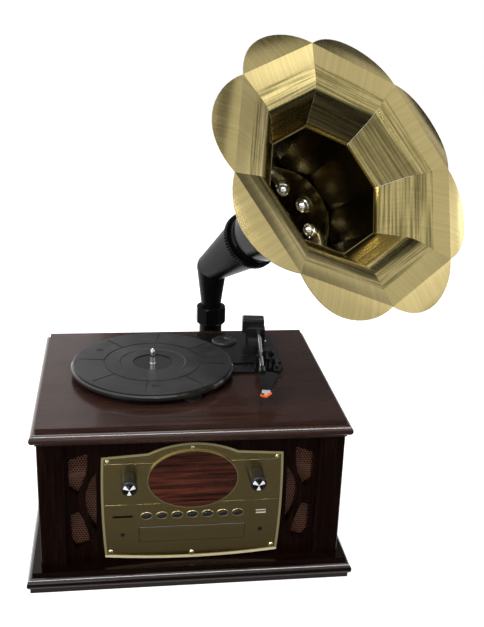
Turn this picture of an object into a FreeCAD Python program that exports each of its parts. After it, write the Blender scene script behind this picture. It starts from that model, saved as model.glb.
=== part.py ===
import FreeCAD, Part
import math
import os

from FreeCAD import Vector

# Retro music centre dressed as a gramophone: a lacquered wooden cabinet with a record deck on top, a brass
# control plate in front and a brass flower horn on a black neck behind. Millimetres, X to the right, front
# towards -Y, Z up, origin at the middle of the plinth's foot.

# Cabinet carcass
BODY_W = 390.0
BODY_D = 320.0
CARCASS_H = 177.5
WALL_T = 15.0
BACK_T = 12.0
FRONT_T = 12.0
FRONT_RECESS = 8.0
PILASTER_W = 33.0

# Plinth and top board, with projections measured out from the carcass
PLINTH_H = 27.5
PLINTH_LEDGE = 10.5
PLINTH_NOSE = 18.0
PLINTH_FOOT = 14.0
PLINTH_FOOT_H = 6.0
PLINTH_BAND_H = 7.0
PLINTH_QUIRK = 1.5
PLINTH_RABBET = 5.0
BOTTOM_T = 12.0
TOP_T = 23.0
TOP_NOSE = 8.0
TOP_LIP = 1.5
TOP_LIP_H = 2.5
TOP_STEP_H = 6.5

# Control plate, with heights measured up from its lower corners
PLATE_LIFT = 8.5
PLATE_H = 146.5
PLATE_TOP_W = 232.0
PLATE_BOTTOM_W = 226.0
PLATE_SIDE_BOW = 2.4
PLATE_BOTTOM_BOW = 6.0
PLATE_SHOULDER = 4.0
PLATE_ARCH_W = 115.0
PLATE_ARCH_H = 17.5
PLATE_T = 2.0
PLATE_RIM_W = 3.0
PLATE_RIM_H = 1.2
OVAL_W = 117.4
OVAL_H = 83.4
OVAL_UP = 111.7
OVAL_RIM_W = 1.4
OVAL_RIM_T = 2.4
PLAQUE_T = 1.6
KNOB_X = 81.6
KNOB_UP = 114.0
KNOB_R = 10.4
KNOB_L = 26.0
SHAFT_R = 3.0
POT_R = 8.0
POT_L = 9.0
BUTTON_UP = 59.0
BUTTON_PITCH = 19.8
BUTTON_W = 12.0
BUTTON_H = 7.0
BUTTON_PROUD = 2.6
BUTTON_TRAVEL = 1.5
JACK_X = 90.2
JACK_UP = 32.0
JACK_R = 1.8
JACK_BARREL_R = 3.0
JACK_BODY = 10.0
CARD_W = 25.0
CARD_H = 2.4
CARD_WALL = 1.5
USB_W = 13.0
USB_H = 5.6
USB_WALL = 0.5
TRAY_W = 138.0
TRAY_H = 22.3
TRAY_UP = 31.5
SCREW_R = 3.3
SCREW_SHANK_R = 1.4
SCREW_INSET = 7.0
BOARD_T = 1.6

# Fretwork and loudspeakers
FRET_IN = 22.0
FRET_Z = 117.0
SPEAKER_R = 38.0
SPEAKER_DEPTH = 26.0
MAGNET_R = 24.0
MAGNET_H = 14.0
GRILLE_T = 1.0
GRILLE_UP = 74.0
GRILLE_DOWN = 72.0
GRILLE_IN = 21.0
CONE_NECK_R = 10.0

# Disc drive
DRIVE_W = 149.0
DRIVE_H = 34.0
DRIVE_D = 166.0
DRIVE_WALL = 1.5
TRAY_T = 4.5
TRAY_TAIL = 26.0
TRAY_MARGIN = 4.0
DISC_R = 61.0

# Power supply, amplifier and vents at the back
SUPPLY_X = 100.0
SUPPLY_Y = 80.0
CORE_W = 56.0
CORE_D = 24.0
CORE_H = 46.0
COIL_D = 44.0
COIL_ROUND = 4.0
EAR_W = 6.0
EAR_T = 2.0
AMP_W = 100.0
AMP_D = 80.0
STANDOFF_H = 6.0
STANDOFF_R = 3.0
STANDOFF_IN = 5.0
CAN_R = 6.0
CAN_H = 22.0
SINK_H = 41.0
SINK_D = 12.0
SINK_T = 2.5
SINK_FINS = 9
INLET_X = -140.0
INLET_UP = 30.0
INLET_W = 28.0
INLET_H = 20.0
INLET_FLANGE = 5.0
VENT_R = 2.5
VENT_PITCH = 12.0
VENT_UP = 25.0
VENT_COLUMNS = 9
VENT_ROWS = 2

# Record deck, with heights measured up from the top board
SPINDLE_X = -45.0
SPINDLE_Y = 5.0
SPINDLE_R = 3.55
SPINDLE_TOP = 31.0
SPINDLE_TIP = 5.0
BEARING_R = 5.0
BEARING_DEPTH = 10.0
SPINDLE_BOSS_R = 12.0
PLATTER_R = 113.0
PLATTER_LIFT = 7.5
PLATTER_RIM_H = 7.0
PLATTER_SKIN = 3.0
PLATTER_SKIRT = 4.0
MAT_R = 109.5
MAT_T = 2.0
MAT_HOLE_R = 28.0
MAT_DISH_R = 45.0
MAT_DISH_DEPTH = 0.6
MAT_RING_R = 67.0
MAT_GROOVE_W = 2.0
MAT_GROOVE_DEPTH = 0.8
MAT_GROOVES = 8
MAT_GROOVE_TURN = -7.5
MAT_GROOVE_STOP = 6.0
MAT_PADS = 3
MAT_PAD_R = 5.0
MAT_PAD_OUT = 85.0
MAT_PAD_TURN = 30.0
HUB_R = 14.0
DRIVE_RING_R = 70.0
DRIVE_RING_T = 4.0
PULLEY_R = 5.0
MOTOR_OFFSET = 92.0
MOTOR_ANGLE = -60.0
MOTOR_R = 17.0
MOTOR_H = 26.0
BELT_T = 1.0
BELT_H = 3.0
DECK_T = 5.0
DECK_LEDGE_T = 3.0
DECK_LEFT = 17.0
DECK_RIGHT = 141.0
DECK_FRONT = -8.0
DECK_BACK = 136.0
DECK_LEDGE_D = 28.0
DECK_CORNER = 14.0
DECK_DISC_R = 100.0
ADAPTER_X = 67.0
ADAPTER_Y = 102.0
ADAPTER_R = 18.7
ADAPTER_T = 6.5
WELL_DEPTH = 3.0
SPEED_X = 131.0
SPEED_Y = 50.0
SPEED_TRAVEL = 5.0
SPEED_L = 8.0
SPEED_T = 3.0
SPEED_TAIL = 6.0

# Tonearm, drawn pointing to -Y from its pivot and then turned by ARM_YAW; its tube runs ARM_SIDE to the right
PIVOT_X = 111.5
PIVOT_Y = 84.0
ARM_YAW = -6.6
ARM_UP = 28.0
ARM_SIDE = 5.0
ARM_TUBE_R = 3.0
ARM_TUBE_L = 148.0
ARM_TUBE_WALL = 1.0
COLLAR_T = 1.6
COLLAR_L = 16.0
HEAD_OUT = 150.0
HEAD_L = 57.0
HEAD_T = 4.0
HEAD_DROP = 3.0
HEAD_LEFT = 0.0
HEAD_RIGHT = 24.5
HEAD_SHOULDER = 18.0
NOSE_LEFT = 1.7
NOSE_RIGHT = 13.8
LIFT_OUT = 6.0
LIFT_W = 5.0
CARTRIDGE_L = 22.0
CARTRIDGE_IN = 0.7
CARTRIDGE_FRONT = 3.0
CARTRIDGE_STEM_W = 4.8
STYLUS_W = 15.0
STYLUS_T = 1.8
STYLUS_D = 3.0
RECORD_T = 1.8
TURRET_R = 15.0
TURRET_BOSS_R = 11.0
TURRET_POST_R = 5.0
TURRET_DEPTH = 14.0
YOKE_T = 3.5
YOKE_GAP = 21.6
PIVOT_PIN_R = 1.5
WEIGHT_W = 33.4
WEIGHT_SIDE = -2.8
WEIGHT_L = 22.0
WEIGHT_H = 23.0
WEIGHT_BACK = 12.0
REST_OUT = 85.0
CUE_OUT = 74.0
CUE_SHAFT_R = 2.0

# Horn bracket, post and neck
POST_X = 55.1
POST_GAP = 2.0
POST_UP = 22.0
POST_R = 18.0
POST_WALL = 2.2
POST_L = 141.0
NUT_BELOW = 16.0
NUT_H = 27.0
NUT_ACROSS = 44.5
NECK_R = 15.5
NECK_BEND_UP = 75.8
NECK_BEND_R = 23.5
NECK_L = 108.0
NECK_END_R = 40.0
NECK_WALL = 2.6
SPIGOT_R = 38.0
SPIGOT_L = 15.0
RING_W = 8.0
RING_R = 44.0
RING_RIBS = 60
RING_RIB_H = 1.2
BRACKET_W = 70.0
BRACKET_H = 90.0
BRACKET_T = 6.0
BRACKET_DROP = 20.0
SLEEVE_T = 6.0

# Horn, measured along its axis from the neck's bend
HORN_AZIMUTH = -58.6
HORN_RISE = 35.2
PETALS = 8
PETAL_TURN = 16.9
SHEET_T = 1.0
CUP_END = 216.0
CUP_END_R = 65.0
CUP_T = 1.5
CUP_STRAIGHT = 10.0
THROAT_START = 211.0
THROAT_START_A = 67.0
THROAT_END_A = 84.0
LAP = 10.0
VALLEY_A = 169.0
TIP_A = 203.0
MOUTH = 350.0
FLARE_L = 58.0
LIP_DROP = 8.0
LIP_BOW = 1.0
LIP_SPARE = 5.0
FLARE_CURVE = ((0.112, 0.216), (0.265, 0.491), (0.388, 0.681), (0.494, 0.767), (0.765, 0.891))
SEAM = 0.2
NUT_RING = 186.0
DOME_R = 12.5
DOME_BASE_H = 5.0

# Clearances
FIT = 0.06
GAP = 0.3
HOLE_GAP = 3.0

# Levels and planes that follow from the sizes above
HALF_W = BODY_W / 2
HALF_D = BODY_D / 2
BODY_Z0 = PLINTH_H
BODY_Z1 = BODY_Z0 + CARCASS_H
TOP_Z = BODY_Z1 + TOP_T
PANEL_Y = FRONT_RECESS - HALF_D
PANEL_BACK = PANEL_Y + FRONT_T
INNER_X = HALF_W - PILASTER_W
FRET_X = INNER_X - FRET_IN
PLATE_Z = BODY_Z0 + PLATE_LIFT
PLATE_Y = PANEL_Y - PLATE_T
PLATE_TOP = PLATE_Z + PLATE_H
OVAL_Z = PLATE_Z + OVAL_UP
KNOB_Z = PLATE_Z + KNOB_UP
BUTTON_Z = PLATE_Z + BUTTON_UP
JACK_Z = PLATE_Z + JACK_UP
TRAY_Z = PLATE_Z + TRAY_UP
BAY_X = JACK_X + CARD_W / 2 + CARD_WALL + GAP
BAY_Z0 = PLATE_Z + 14.0
BAY_Z1 = KNOB_Z + 15.0
DECK_Z = TOP_Z + DECK_T
LEDGE_Z = TOP_Z + DECK_LEDGE_T
PLATTER_Z = TOP_Z + PLATTER_LIFT
PLATTER_TOP = PLATTER_Z + PLATTER_RIM_H
MAT_TOP = PLATTER_TOP + MAT_T
ARM_Z = TOP_Z + ARM_UP
STYLUS_Z = MAT_TOP + RECORD_T
POST_Y = HALF_D + TOP_NOSE + POST_GAP + POST_R
POST_TOP = TOP_Z + POST_UP
BEND = Vector(POST_X, POST_Y, POST_TOP + NECK_BEND_UP)
THROAT_END = MOUTH - FLARE_L
X, Y, Z = Vector(1, 0, 0), Vector(0, 1, 0), Vector(0, 0, 1)
ORIGIN = Vector(0, 0, 0)

os.makedirs("parts", exist_ok=True)


def save(name, *solids):
    shape = solids[0] if len(solids) == 1 else Part.makeCompound(list(solids))
    shape.exportStep("parts/%s.step" % name)


def box(x, y, z):
    """A block between low and high values on each axis."""
    return Part.makeBox(x[1] - x[0], y[1] - y[0], z[1] - z[0], Vector(x[0], y[0], z[0]))


def span(middle, width):
    return (middle - width / 2, middle + width / 2)


def rod(radius, start, end):
    return Part.makeCylinder(radius, (end - start).Length, start, end - start)


def taper(start_r, end_r, start, end):
    return Part.makeCone(start_r, end_r, (end - start).Length, start, end - start)


def closed_face(edges):
    return Part.Face(Part.Wire(Part.__sortEdges__([edge.toShape() for edge in edges])))


def polygon(points):
    return Part.Face(Part.makePolygon(list(points) + [points[0]]))


def turned(profile, centre=ORIGIN):
    """A solid of revolution about Z from (radius, height) corners."""
    face = polygon([Vector(radius, 0, height) for radius, height in profile])
    solid = face.revolve(ORIGIN, Z, 360)
    solid.translate(centre)
    return solid


def softened(shape, radius):
    return shape.makeFillet(radius, shape.Edges)


def mirrored(shape):
    return shape.mirror(ORIGIN, X)


def front_slab(face, back_y, depth):
    """A face drawn in the XZ plane, made a slab that stands out from back_y towards the front."""
    slab = face.extrude(Vector(0, -depth, 0))
    slab.translate(Vector(0, back_y, 0))
    return slab


def oval(width, height, x, z):
    centre = Vector(x, 0, z)
    curve = Part.Ellipse(centre + X * (width / 2), centre + Z * (height / 2), centre)
    return Part.Face(Part.Wire(curve.toShape()))


# Mitred mouldings: one section, drawn as (distance out from the carcass, height), on all four sides
def moulded_frame(section):
    reach = PLINTH_NOSE + 20.0
    depth = WALL_T + PLINTH_RABBET + 5.0
    sides = []
    for quarter in range(4):
        half_length, half_away = ((HALF_W, HALF_D), (HALF_D, HALF_W))[quarter % 2]
        bar = section.copy()
        bar.translate(Vector(-half_length - reach, half_away, 0))
        bar = bar.extrude(Vector(2 * (half_length + reach), 0, 0))
        mitre = polygon([
            Vector(-half_length - reach, half_away + reach, 0),
            Vector(half_length + reach, half_away + reach, 0),
            Vector(half_length - depth, half_away - depth, 0),
            Vector(depth - half_length, half_away - depth, 0),
        ]).extrude(Vector(0, 0, TOP_Z))
        side = bar.common(mitre)
        side.rotate(ORIGIN, Z, 90 * quarter)
        sides.append(side)
    return sides[0].fuse(sides[1:]).removeSplitter()


def make_plinth():
    band_z = PLINTH_H - PLINTH_BAND_H
    nose_z = (PLINTH_FOOT_H + band_z) / 2
    inner = -WALL_T - PLINTH_RABBET
    seat = PLINTH_H - BOTTOM_T

    def at(out, height):
        return Vector(0, out, height)

    outline = [
        at(inner, seat), at(inner, 0), at(PLINTH_FOOT, 0), at(PLINTH_FOOT, PLINTH_FOOT_H),
        at(PLINTH_LEDGE + PLINTH_QUIRK, band_z), at(PLINTH_LEDGE, band_z), at(PLINTH_LEDGE, PLINTH_H),
        at(-WALL_T, PLINTH_H), at(-WALL_T, seat), at(inner, seat),
    ]
    edges = [Part.LineSegment(a, b) for a, b in zip(outline, outline[1:])]
    edges[3] = Part.Arc(outline[3], at(PLINTH_NOSE, nose_z), outline[4])
    save("plinth", moulded_frame(closed_face(edges)))
    save("bottom_board", box((WALL_T - HALF_W, HALF_W - WALL_T), (WALL_T - HALF_D, HALF_D - WALL_T),
                             (seat, PLINTH_H)))


def make_top_board():
    step_z = TOP_Z - TOP_STEP_H
    lip_z = BODY_Z1 + TOP_LIP_H

    def at(out, height):
        return Vector(0, out, height)

    outline = [
        at(-WALL_T, BODY_Z1), at(TOP_LIP, BODY_Z1), at(TOP_LIP, lip_z), at(TOP_LIP, step_z),
        at(0, step_z), at(0, TOP_Z), at(-WALL_T, TOP_Z), at(-WALL_T, BODY_Z1),
    ]
    edges = [Part.LineSegment(a, b) for a, b in zip(outline, outline[1:])]
    edges[2] = Part.Arc(outline[2], at(TOP_NOSE, (lip_z + step_z) / 2), outline[3])
    slab = box((-HALF_W, HALF_W), (-HALF_D, HALF_D), (BODY_Z1, TOP_Z))
    board = slab.fuse(moulded_frame(closed_face(edges))).removeSplitter()
    low, high = BODY_Z1 - 1, TOP_Z + 1
    bosses = ((SPINDLE_BOSS_R, spindle_at(0)), (MOTOR_R, motor_at(0)), (TURRET_BOSS_R, pivot_at(0)))
    for radius, place in bosses:
        board = board.cut(rod(radius + HOLE_GAP, place + Z * low, place + Z * high))
    pocket = span(SPEED_Y, SPEED_L + 2 * SPEED_TRAVEL + 2 * HOLE_GAP)
    pocket = box(span(SPEED_X, SPEED_T + 2 * HOLE_GAP), pocket, (TOP_Z - SPEED_TAIL - HOLE_GAP, high))
    save("top_board", board.cut(pocket))


def spindle_at(height):
    return Vector(SPINDLE_X, SPINDLE_Y, height)


def motor_at(height):
    angle = math.radians(MOTOR_ANGLE)
    return spindle_at(height) + Vector(math.cos(angle), math.sin(angle), 0) * MOTOR_OFFSET


def pivot_at(height):
    return Vector(PIVOT_X, PIVOT_Y, height)


# Carcass panels between the plinth and the top
def make_carcass():
    height = (BODY_Z0, BODY_Z1)
    side = box((HALF_W - WALL_T, HALF_W), (PANEL_BACK, HALF_D), height)
    save("side_panels", side, mirrored(side))
    back = box((WALL_T - HALF_W, HALF_W - WALL_T), (HALF_D - BACK_T, HALF_D), height)
    for x, z in inlet_corners():
        back = back.cut(box(x, (HALF_D - BACK_T - 1, HALF_D + 1), z))
    for column in range(VENT_COLUMNS):
        for row in range(VENT_ROWS):
            across = VENT_PITCH * (column - (VENT_COLUMNS - 1) / 2)
            hole = Vector(across, 0, BODY_Z0 + VENT_UP + VENT_PITCH * row)
            back = back.cut(rod(VENT_R, hole + Y * (HALF_D - BACK_T - 1), hole + Y * (HALF_D + 1)))
    for place in bracket_screw_places():
        back = back.cut(rod(SCREW_SHANK_R + FIT, place - Y * (BACK_T + 1), place))
    save("back_panel", back)
    post = box((INNER_X, HALF_W), (-HALF_D, PANEL_BACK), height)
    post = post.makeChamfer(1.2, [e for e in post.Edges if on_front_upright(e)])
    save("corner_pilasters", post, mirrored(post))


def on_front_upright(edge):
    box_of = edge.BoundBox
    return box_of.ZLength > CARCASS_H / 2 and abs(box_of.YMin + HALF_D) < 0.01


def inlet_corners():
    """Where the mains inlet passes through the back panel, as x and z spans."""
    return [(span(INLET_X, INLET_W), span(BODY_Z0 + INLET_UP, INLET_H))]


# Fretwork: three openings each side, left between curved wooden bands
def fret_openings():
    def at(x, z):
        return Vector(-FRET_X + x, 0, FRET_Z + z)

    upper = [
        Part.LineSegment(at(-17.5, 61.4), at(6.7, 70.4)),
        Part.Arc(at(6.7, 70.4), at(4.6, 40.0), at(-7.0, 10.7)),
        Part.LineSegment(at(-7.0, 10.7), at(-17.0, 19.0)),
        Part.LineSegment(at(-17.0, 19.0), at(-17.5, 61.4)),
    ]
    lower = [
        Part.LineSegment(at(-16.8, -16.7), at(-5.3, -12.9)),
        Part.Arc(at(-5.3, -12.9), at(3.6, -36.0), at(8.3, -63.2)),
        Part.LineSegment(at(8.3, -63.2), at(-10.0, -68.0)),
        Part.LineSegment(at(-10.0, -68.0), at(-15.0, -60.0)),
        Part.LineSegment(at(-15.0, -60.0), at(-16.8, -16.7)),
    ]
    middle = [
        Part.Arc(at(17.5, 43.0), at(3.4, 9.5), at(16.5, -42.5)),
        Part.LineSegment(at(16.5, -42.5), at(17.5, 43.0)),
    ]
    return [closed_face(edges) for edges in (upper, lower, middle)]


def make_front_panel():
    panel = box((-INNER_X, INNER_X), (PANEL_Y, PANEL_BACK), (BODY_Z0, BODY_Z1))
    bay = box((-BAY_X, BAY_X), (PANEL_Y - 1, PANEL_BACK + 1), (BAY_Z0, BAY_Z1))
    panel = panel.cut(bay)
    for face in fret_openings():
        opening = front_slab(face, PANEL_BACK + 1, FRONT_T + 2)
        panel = panel.cut(opening).cut(mirrored(opening))
    for x, z in plate_screw_places():
        start = Vector(x, PANEL_Y - 1, z)
        panel = panel.cut(rod(SCREW_SHANK_R + FIT, start, start + Y * (FRONT_T - 1)))
    save("front_panel", panel)


def make_speakers():
    centre = Vector(-FRET_X, PANEL_BACK, FRET_Z)
    height = (FRET_Z - GRILLE_DOWN, FRET_Z + GRILLE_UP)
    grille = box((1 - INNER_X, -FRET_X + GRILLE_IN), (PANEL_BACK, PANEL_BACK + GRILLE_T), height)
    save("speaker_grilles", grille, mirrored(grille))
    rim = SPEAKER_R - 3
    basket = turned([
        (rim - 2, 0), (SPEAKER_R, 0), (SPEAKER_R, 1.5), (rim, 1.5), (MAGNET_R, SPEAKER_DEPTH),
        (MAGNET_R, SPEAKER_DEPTH + MAGNET_H), (0, SPEAKER_DEPTH + MAGNET_H), (0, SPEAKER_DEPTH - 1.5),
        (MAGNET_R - 2, SPEAKER_DEPTH - 1.5), (rim - 2, 1.5),
    ])
    cone = turned([
        (rim - 2.3, 0.5), (rim - 3.3, 0.5), (CONE_NECK_R, SPEAKER_DEPTH - 8), (0, SPEAKER_DEPTH - 10),
        (0, SPEAKER_DEPTH - 1.8), (CONE_NECK_R - 2, SPEAKER_DEPTH - 1.8),
        (CONE_NECK_R + 0.5, SPEAKER_DEPTH - 7), (rim - 2.3, 1.5),
    ])
    for name, piece in (("speaker_frames", basket), ("speaker_cones", cone)):
        piece.rotate(ORIGIN, X, -90)
        piece.translate(centre + Y * GRILLE_T)
        save(name, piece, mirrored(piece))


# Control plate: an arched brass sheet with a rolled rim
def plate_outline():
    top, bottom = PLATE_TOP_W / 2, PLATE_BOTTOM_W / 2
    arch = PLATE_ARCH_W / 2
    middle = (PLATE_Z + PLATE_TOP) / 2
    bulge = (top + bottom) / 2 + PLATE_SIDE_BOW

    def at(x, z):
        return Vector(x, 0, z)

    return [
        Part.Arc(at(-bottom, PLATE_Z), at(0, PLATE_Z - PLATE_BOTTOM_BOW), at(bottom, PLATE_Z)),
        Part.Arc(at(bottom, PLATE_Z), at(bulge, middle), at(top, PLATE_TOP)),
        Part.LineSegment(at(top, PLATE_TOP), at(arch, PLATE_TOP + PLATE_SHOULDER)),
        Part.Arc(at(arch, PLATE_TOP + PLATE_SHOULDER), at(0, PLATE_TOP + PLATE_ARCH_H),
                 at(-arch, PLATE_TOP + PLATE_SHOULDER)),
        Part.LineSegment(at(-arch, PLATE_TOP + PLATE_SHOULDER), at(-top, PLATE_TOP)),
        Part.Arc(at(-top, PLATE_TOP), at(-bulge, middle), at(-bottom, PLATE_Z)),
    ]


def plate_screw_places():
    top = PLATE_TOP_W / 2 - SCREW_INSET
    bottom = PLATE_BOTTOM_W / 2 - SCREW_INSET
    low, high = PLATE_Z + SCREW_INSET, PLATE_TOP - SCREW_INSET
    foot = PLATE_Z - PLATE_BOTTOM_BOW + SCREW_INSET
    arch = (OVAL_Z + OVAL_H / 2 + PLATE_TOP + PLATE_ARCH_H - PLATE_RIM_W) / 2
    return [(-top, high), (top, high), (-bottom, low), (bottom, low), (0, foot), (0, arch)]


def button_places():
    return [BUTTON_PITCH * step for step in range(-3, 4)]


def make_plate():
    outline = closed_face(plate_outline())
    inner = Part.Face(outline.OuterWire.makeOffset2D(-PLATE_RIM_W))
    plate = front_slab(outline, PANEL_Y, PLATE_T + PLATE_RIM_H)
    plate = plate.cut(front_slab(inner, PLATE_Y, PLATE_RIM_H + 1))
    through = (PLATE_Y - 1, PANEL_Y + 1)
    for x, z in plate_screw_places():
        plate = plate.cut(rod(SCREW_SHANK_R + FIT, Vector(x, through[0], z), Vector(x, through[1], z)))
    for side in (-1, 1):
        knob = Vector(side * KNOB_X, 0, KNOB_Z)
        jack = Vector(side * JACK_X, 0, JACK_Z)
        for place, radius in ((knob, SHAFT_R + 1), (jack, JACK_BARREL_R + FIT)):
            plate = plate.cut(rod(radius, place + Y * through[0], place + Y * through[1]))
    for x in button_places():
        hole = oval(BUTTON_W + 2 * GAP, BUTTON_H + 2 * GAP, x, BUTTON_Z)
        plate = plate.cut(front_slab(hole, through[1], PLATE_T + 2))
    plate = plate.cut(box((-TRAY_W / 2 - 0.5, TRAY_W / 2 + 0.5), through,
                          (TRAY_Z - TRAY_H / 2 - 0.5, TRAY_Z + TRAY_H / 2 + 0.5)))
    plate = plate.cut(box(span(-JACK_X, CARD_W + 2 * GAP), through, span(BUTTON_Z, CARD_H + 2 * GAP)))
    plate = plate.cut(box(span(JACK_X, USB_W + 2 * FIT), through, span(BUTTON_Z, USB_H + 2 * FIT)))
    save("faceplate", plate)

    screws = []
    for x, z in plate_screw_places():
        head = turned([(0, 0), (SCREW_R, 0), (SCREW_R, 0.5), (SCREW_R * 0.75, 1.5), (0, 2.1)])
        head.rotate(ORIGIN, X, 90)
        head.translate(Vector(x, PLATE_Y, z))
        shank = rod(SCREW_SHANK_R, Vector(x, PLATE_Y, z), Vector(x, PANEL_Y + FRONT_T - 3, z))
        screws.append(head.fuse(shank))
    save("faceplate_screws", *screws)

    rim = front_slab(oval(OVAL_W, OVAL_H, 0, OVAL_Z), PLATE_Y, OVAL_RIM_T)
    inside = oval(OVAL_W - 2 * OVAL_RIM_W, OVAL_H - 2 * OVAL_RIM_W, 0, OVAL_Z)
    save("oval_rim", rim.cut(front_slab(inside, PLATE_Y + 1, OVAL_RIM_T + 2)))
    plaque = oval(OVAL_W - 2 * OVAL_RIM_W - 2 * FIT, OVAL_H - 2 * OVAL_RIM_W - 2 * FIT, 0, OVAL_Z)
    save("oval_plaque", front_slab(plaque, PLATE_Y, PLAQUE_T))


BUTTON_NAMES = (
    "power_button", "source_button", "previous_button", "play_button", "next_button", "stop_button",
    "record_button",
)


def make_controls():
    board_y = PANEL_BACK
    front_of = Vector(0, PLATE_Y, 0)
    pots = []
    for name, side in (("volume_knob", -1), ("tuning_knob", 1)):
        place = Vector(side * KNOB_X, 0, KNOB_Z)
        knob = rod(KNOB_R, place + front_of - Y * GAP, place + front_of - Y * KNOB_L)
        knob = knob.makeFillet(2.5, [e for e in knob.Edges if e.BoundBox.YMax < PLATE_Y - KNOB_L + 0.1])
        shaft = rod(SHAFT_R, place + front_of - Y, place + Y * (board_y - 3))
        save(name, knob.fuse(shaft))
        pot = rod(POT_R, place + Y * (board_y - POT_L), place + Y * board_y)
        pots.append(pot.cut(rod(SHAFT_R + FIT, place + Y * (board_y - POT_L - 1), place + Y * (board_y - 2.7))))
    save("potentiometers", *pots)

    switch_h = 3.7
    stem_end = board_y - switch_h - BUTTON_TRAVEL - 0.2
    keys = []
    for name, x in zip(BUTTON_NAMES, button_places()):
        cap = front_slab(oval(BUTTON_W, BUTTON_H, x, BUTTON_Z), PANEL_Y + GAP, PLATE_T + GAP + BUTTON_PROUD)
        cap = cap.makeFillet(0.8, [e for e in cap.Edges if e.BoundBox.YMax < PLATE_Y - BUTTON_PROUD + 0.1])
        flange = front_slab(oval(BUTTON_W + 3, BUTTON_H + 3, x, BUTTON_Z), PANEL_Y + GAP + 1.2, 1.2)
        stem = rod(2.0, Vector(x, PANEL_Y + GAP, BUTTON_Z), Vector(x, stem_end, BUTTON_Z))
        save(name, cap.fuse([flange, stem]))
        keys.append(box((x - 3, x + 3), (board_y - switch_h, board_y + 0.5), (BUTTON_Z - 3, BUTTON_Z + 3)))

    leg_x = (DRIVE_W / 2 + 3, JACK_X + JACK_BODY / 2 + 2)
    sheet = (board_y, board_y + BOARD_T)
    drive_top = TRAY_Z - TRAY_H / 2 - 6 + DRIVE_H
    board = box((-leg_x[1], leg_x[1]), sheet, (drive_top + 2, BAY_Z1 + 7))
    leg = box(leg_x, sheet, (BAY_Z0 - 6, BAY_Z1))
    board = board.fuse([leg, mirrored(leg)])
    save("control_board", board.fuse(keys).removeSplitter())

    usb = box(span(JACK_X, USB_W), (PLATE_Y, board_y), span(BUTTON_Z, USB_H))
    mouth = (span(JACK_X, USB_W - 2 * USB_WALL), span(BUTTON_Z, USB_H - 2 * USB_WALL))
    usb = usb.cut(box(mouth[0], (PLATE_Y - 1, board_y - 2), mouth[1]))
    tongue_z = (BUTTON_Z + 0.2, BUTTON_Z + 1.8)
    tongue = box(span(JACK_X, USB_W - 4 * USB_WALL), (PLATE_Y + 1, board_y - 1), tongue_z)
    save("usb_socket", usb.fuse(tongue).removeSplitter())
    case = (span(-JACK_X, CARD_W + 2 * CARD_WALL), span(BUTTON_Z, CARD_H + 2 * CARD_WALL))
    card = box(case[0], (PANEL_Y + GAP, board_y), case[1])
    slot = box(span(-JACK_X, CARD_W), (PANEL_Y - 1, board_y - 1), span(BUTTON_Z, CARD_H))
    save("card_socket", card.cut(slot))
    jacks = []
    for side in (-1, 1):
        place = Vector(side * JACK_X, 0, JACK_Z)
        body = box(span(place.x, JACK_BODY), (PANEL_Y + GAP, board_y), span(JACK_Z, JACK_BODY))
        barrel = rod(JACK_BARREL_R, place + Y * PLATE_Y, place + Y * (PANEL_Y + 1))
        bore = rod(JACK_R, place + Y * (PLATE_Y - 1), place + Y * (board_y - 1))
        jacks.append(body.fuse(barrel).cut(bore))
    save("audio_jacks", *jacks)


# Disc drive on four legs, open in front, with the tray on side rails
def make_disc_drive():
    half = DRIVE_W / 2
    low = TRAY_Z - TRAY_H / 2 - 6
    high = low + DRIVE_H
    front = PANEL_BACK + 1
    back = front + DRIVE_D
    wall = DRIVE_WALL
    tray_z = TRAY_Z - TRAY_H / 2 + 1
    disc_y = PANEL_BACK + DISC_R + TRAY_MARGIN
    tail = disc_y + DISC_R + TRAY_MARGIN + TRAY_TAIL
    shell = box((-half, half), (front, back), (low, high))
    shell = shell.cut(box((wall - half, half - wall), (front - 1, back - wall), (low + wall, high - wall)))
    extras = []
    for side in (-1, 1):
        rail = sorted((side * (half - wall / 2), side * (half - 12)))
        extras.append(box(rail, (front, back - wall / 2), (low + wall / 2, tray_z - GAP)))
        leg = sorted((side * (half - 14), side * half))
        extras.append(box(leg, (front, front + 12), (BODY_Z0, low + wall / 2)))
        extras.append(box(leg, (back - 12, back), (BODY_Z0, low + wall / 2)))
    extras.append(rod(14.0, Vector(0, disc_y, low + wall / 2), Vector(0, disc_y, tray_z - 1)))
    save("cd_chassis", shell.fuse(extras).removeSplitter())

    tray_half = half - wall - GAP
    tray = box((-tray_half, tray_half), (PLATE_Y, tail), (tray_z, tray_z + TRAY_T))
    disc = Vector(0, disc_y, tray_z)
    tray = tray.cut(rod(DISC_R, disc + Z * (TRAY_T - 2), disc + Z * (TRAY_T + 1)))
    tray = tray.cut(rod(18.0, disc - Z, disc + Z * TRAY_T))
    tray = tray.cut(box((-18, 18), (disc_y, tail - 8), (tray_z - 1, tray_z + TRAY_T)))
    keep = box((-TRAY_W / 2, TRAY_W / 2), (PLATE_Y - 1, tail + 1), (tray_z - 1, tray_z + TRAY_T + 1))
    fascia = box((-TRAY_W / 2, TRAY_W / 2), (PLATE_Y - 0.8, PLATE_Y + 2.4),
                 (TRAY_Z - TRAY_H / 2, TRAY_Z + TRAY_H / 2))
    fascia = fascia.makeChamfer(0.5, [e for e in fascia.Edges if e.BoundBox.YMax < PLATE_Y - 0.7])
    save("cd_tray", tray.common(keep).fuse(fascia).removeSplitter())


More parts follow.
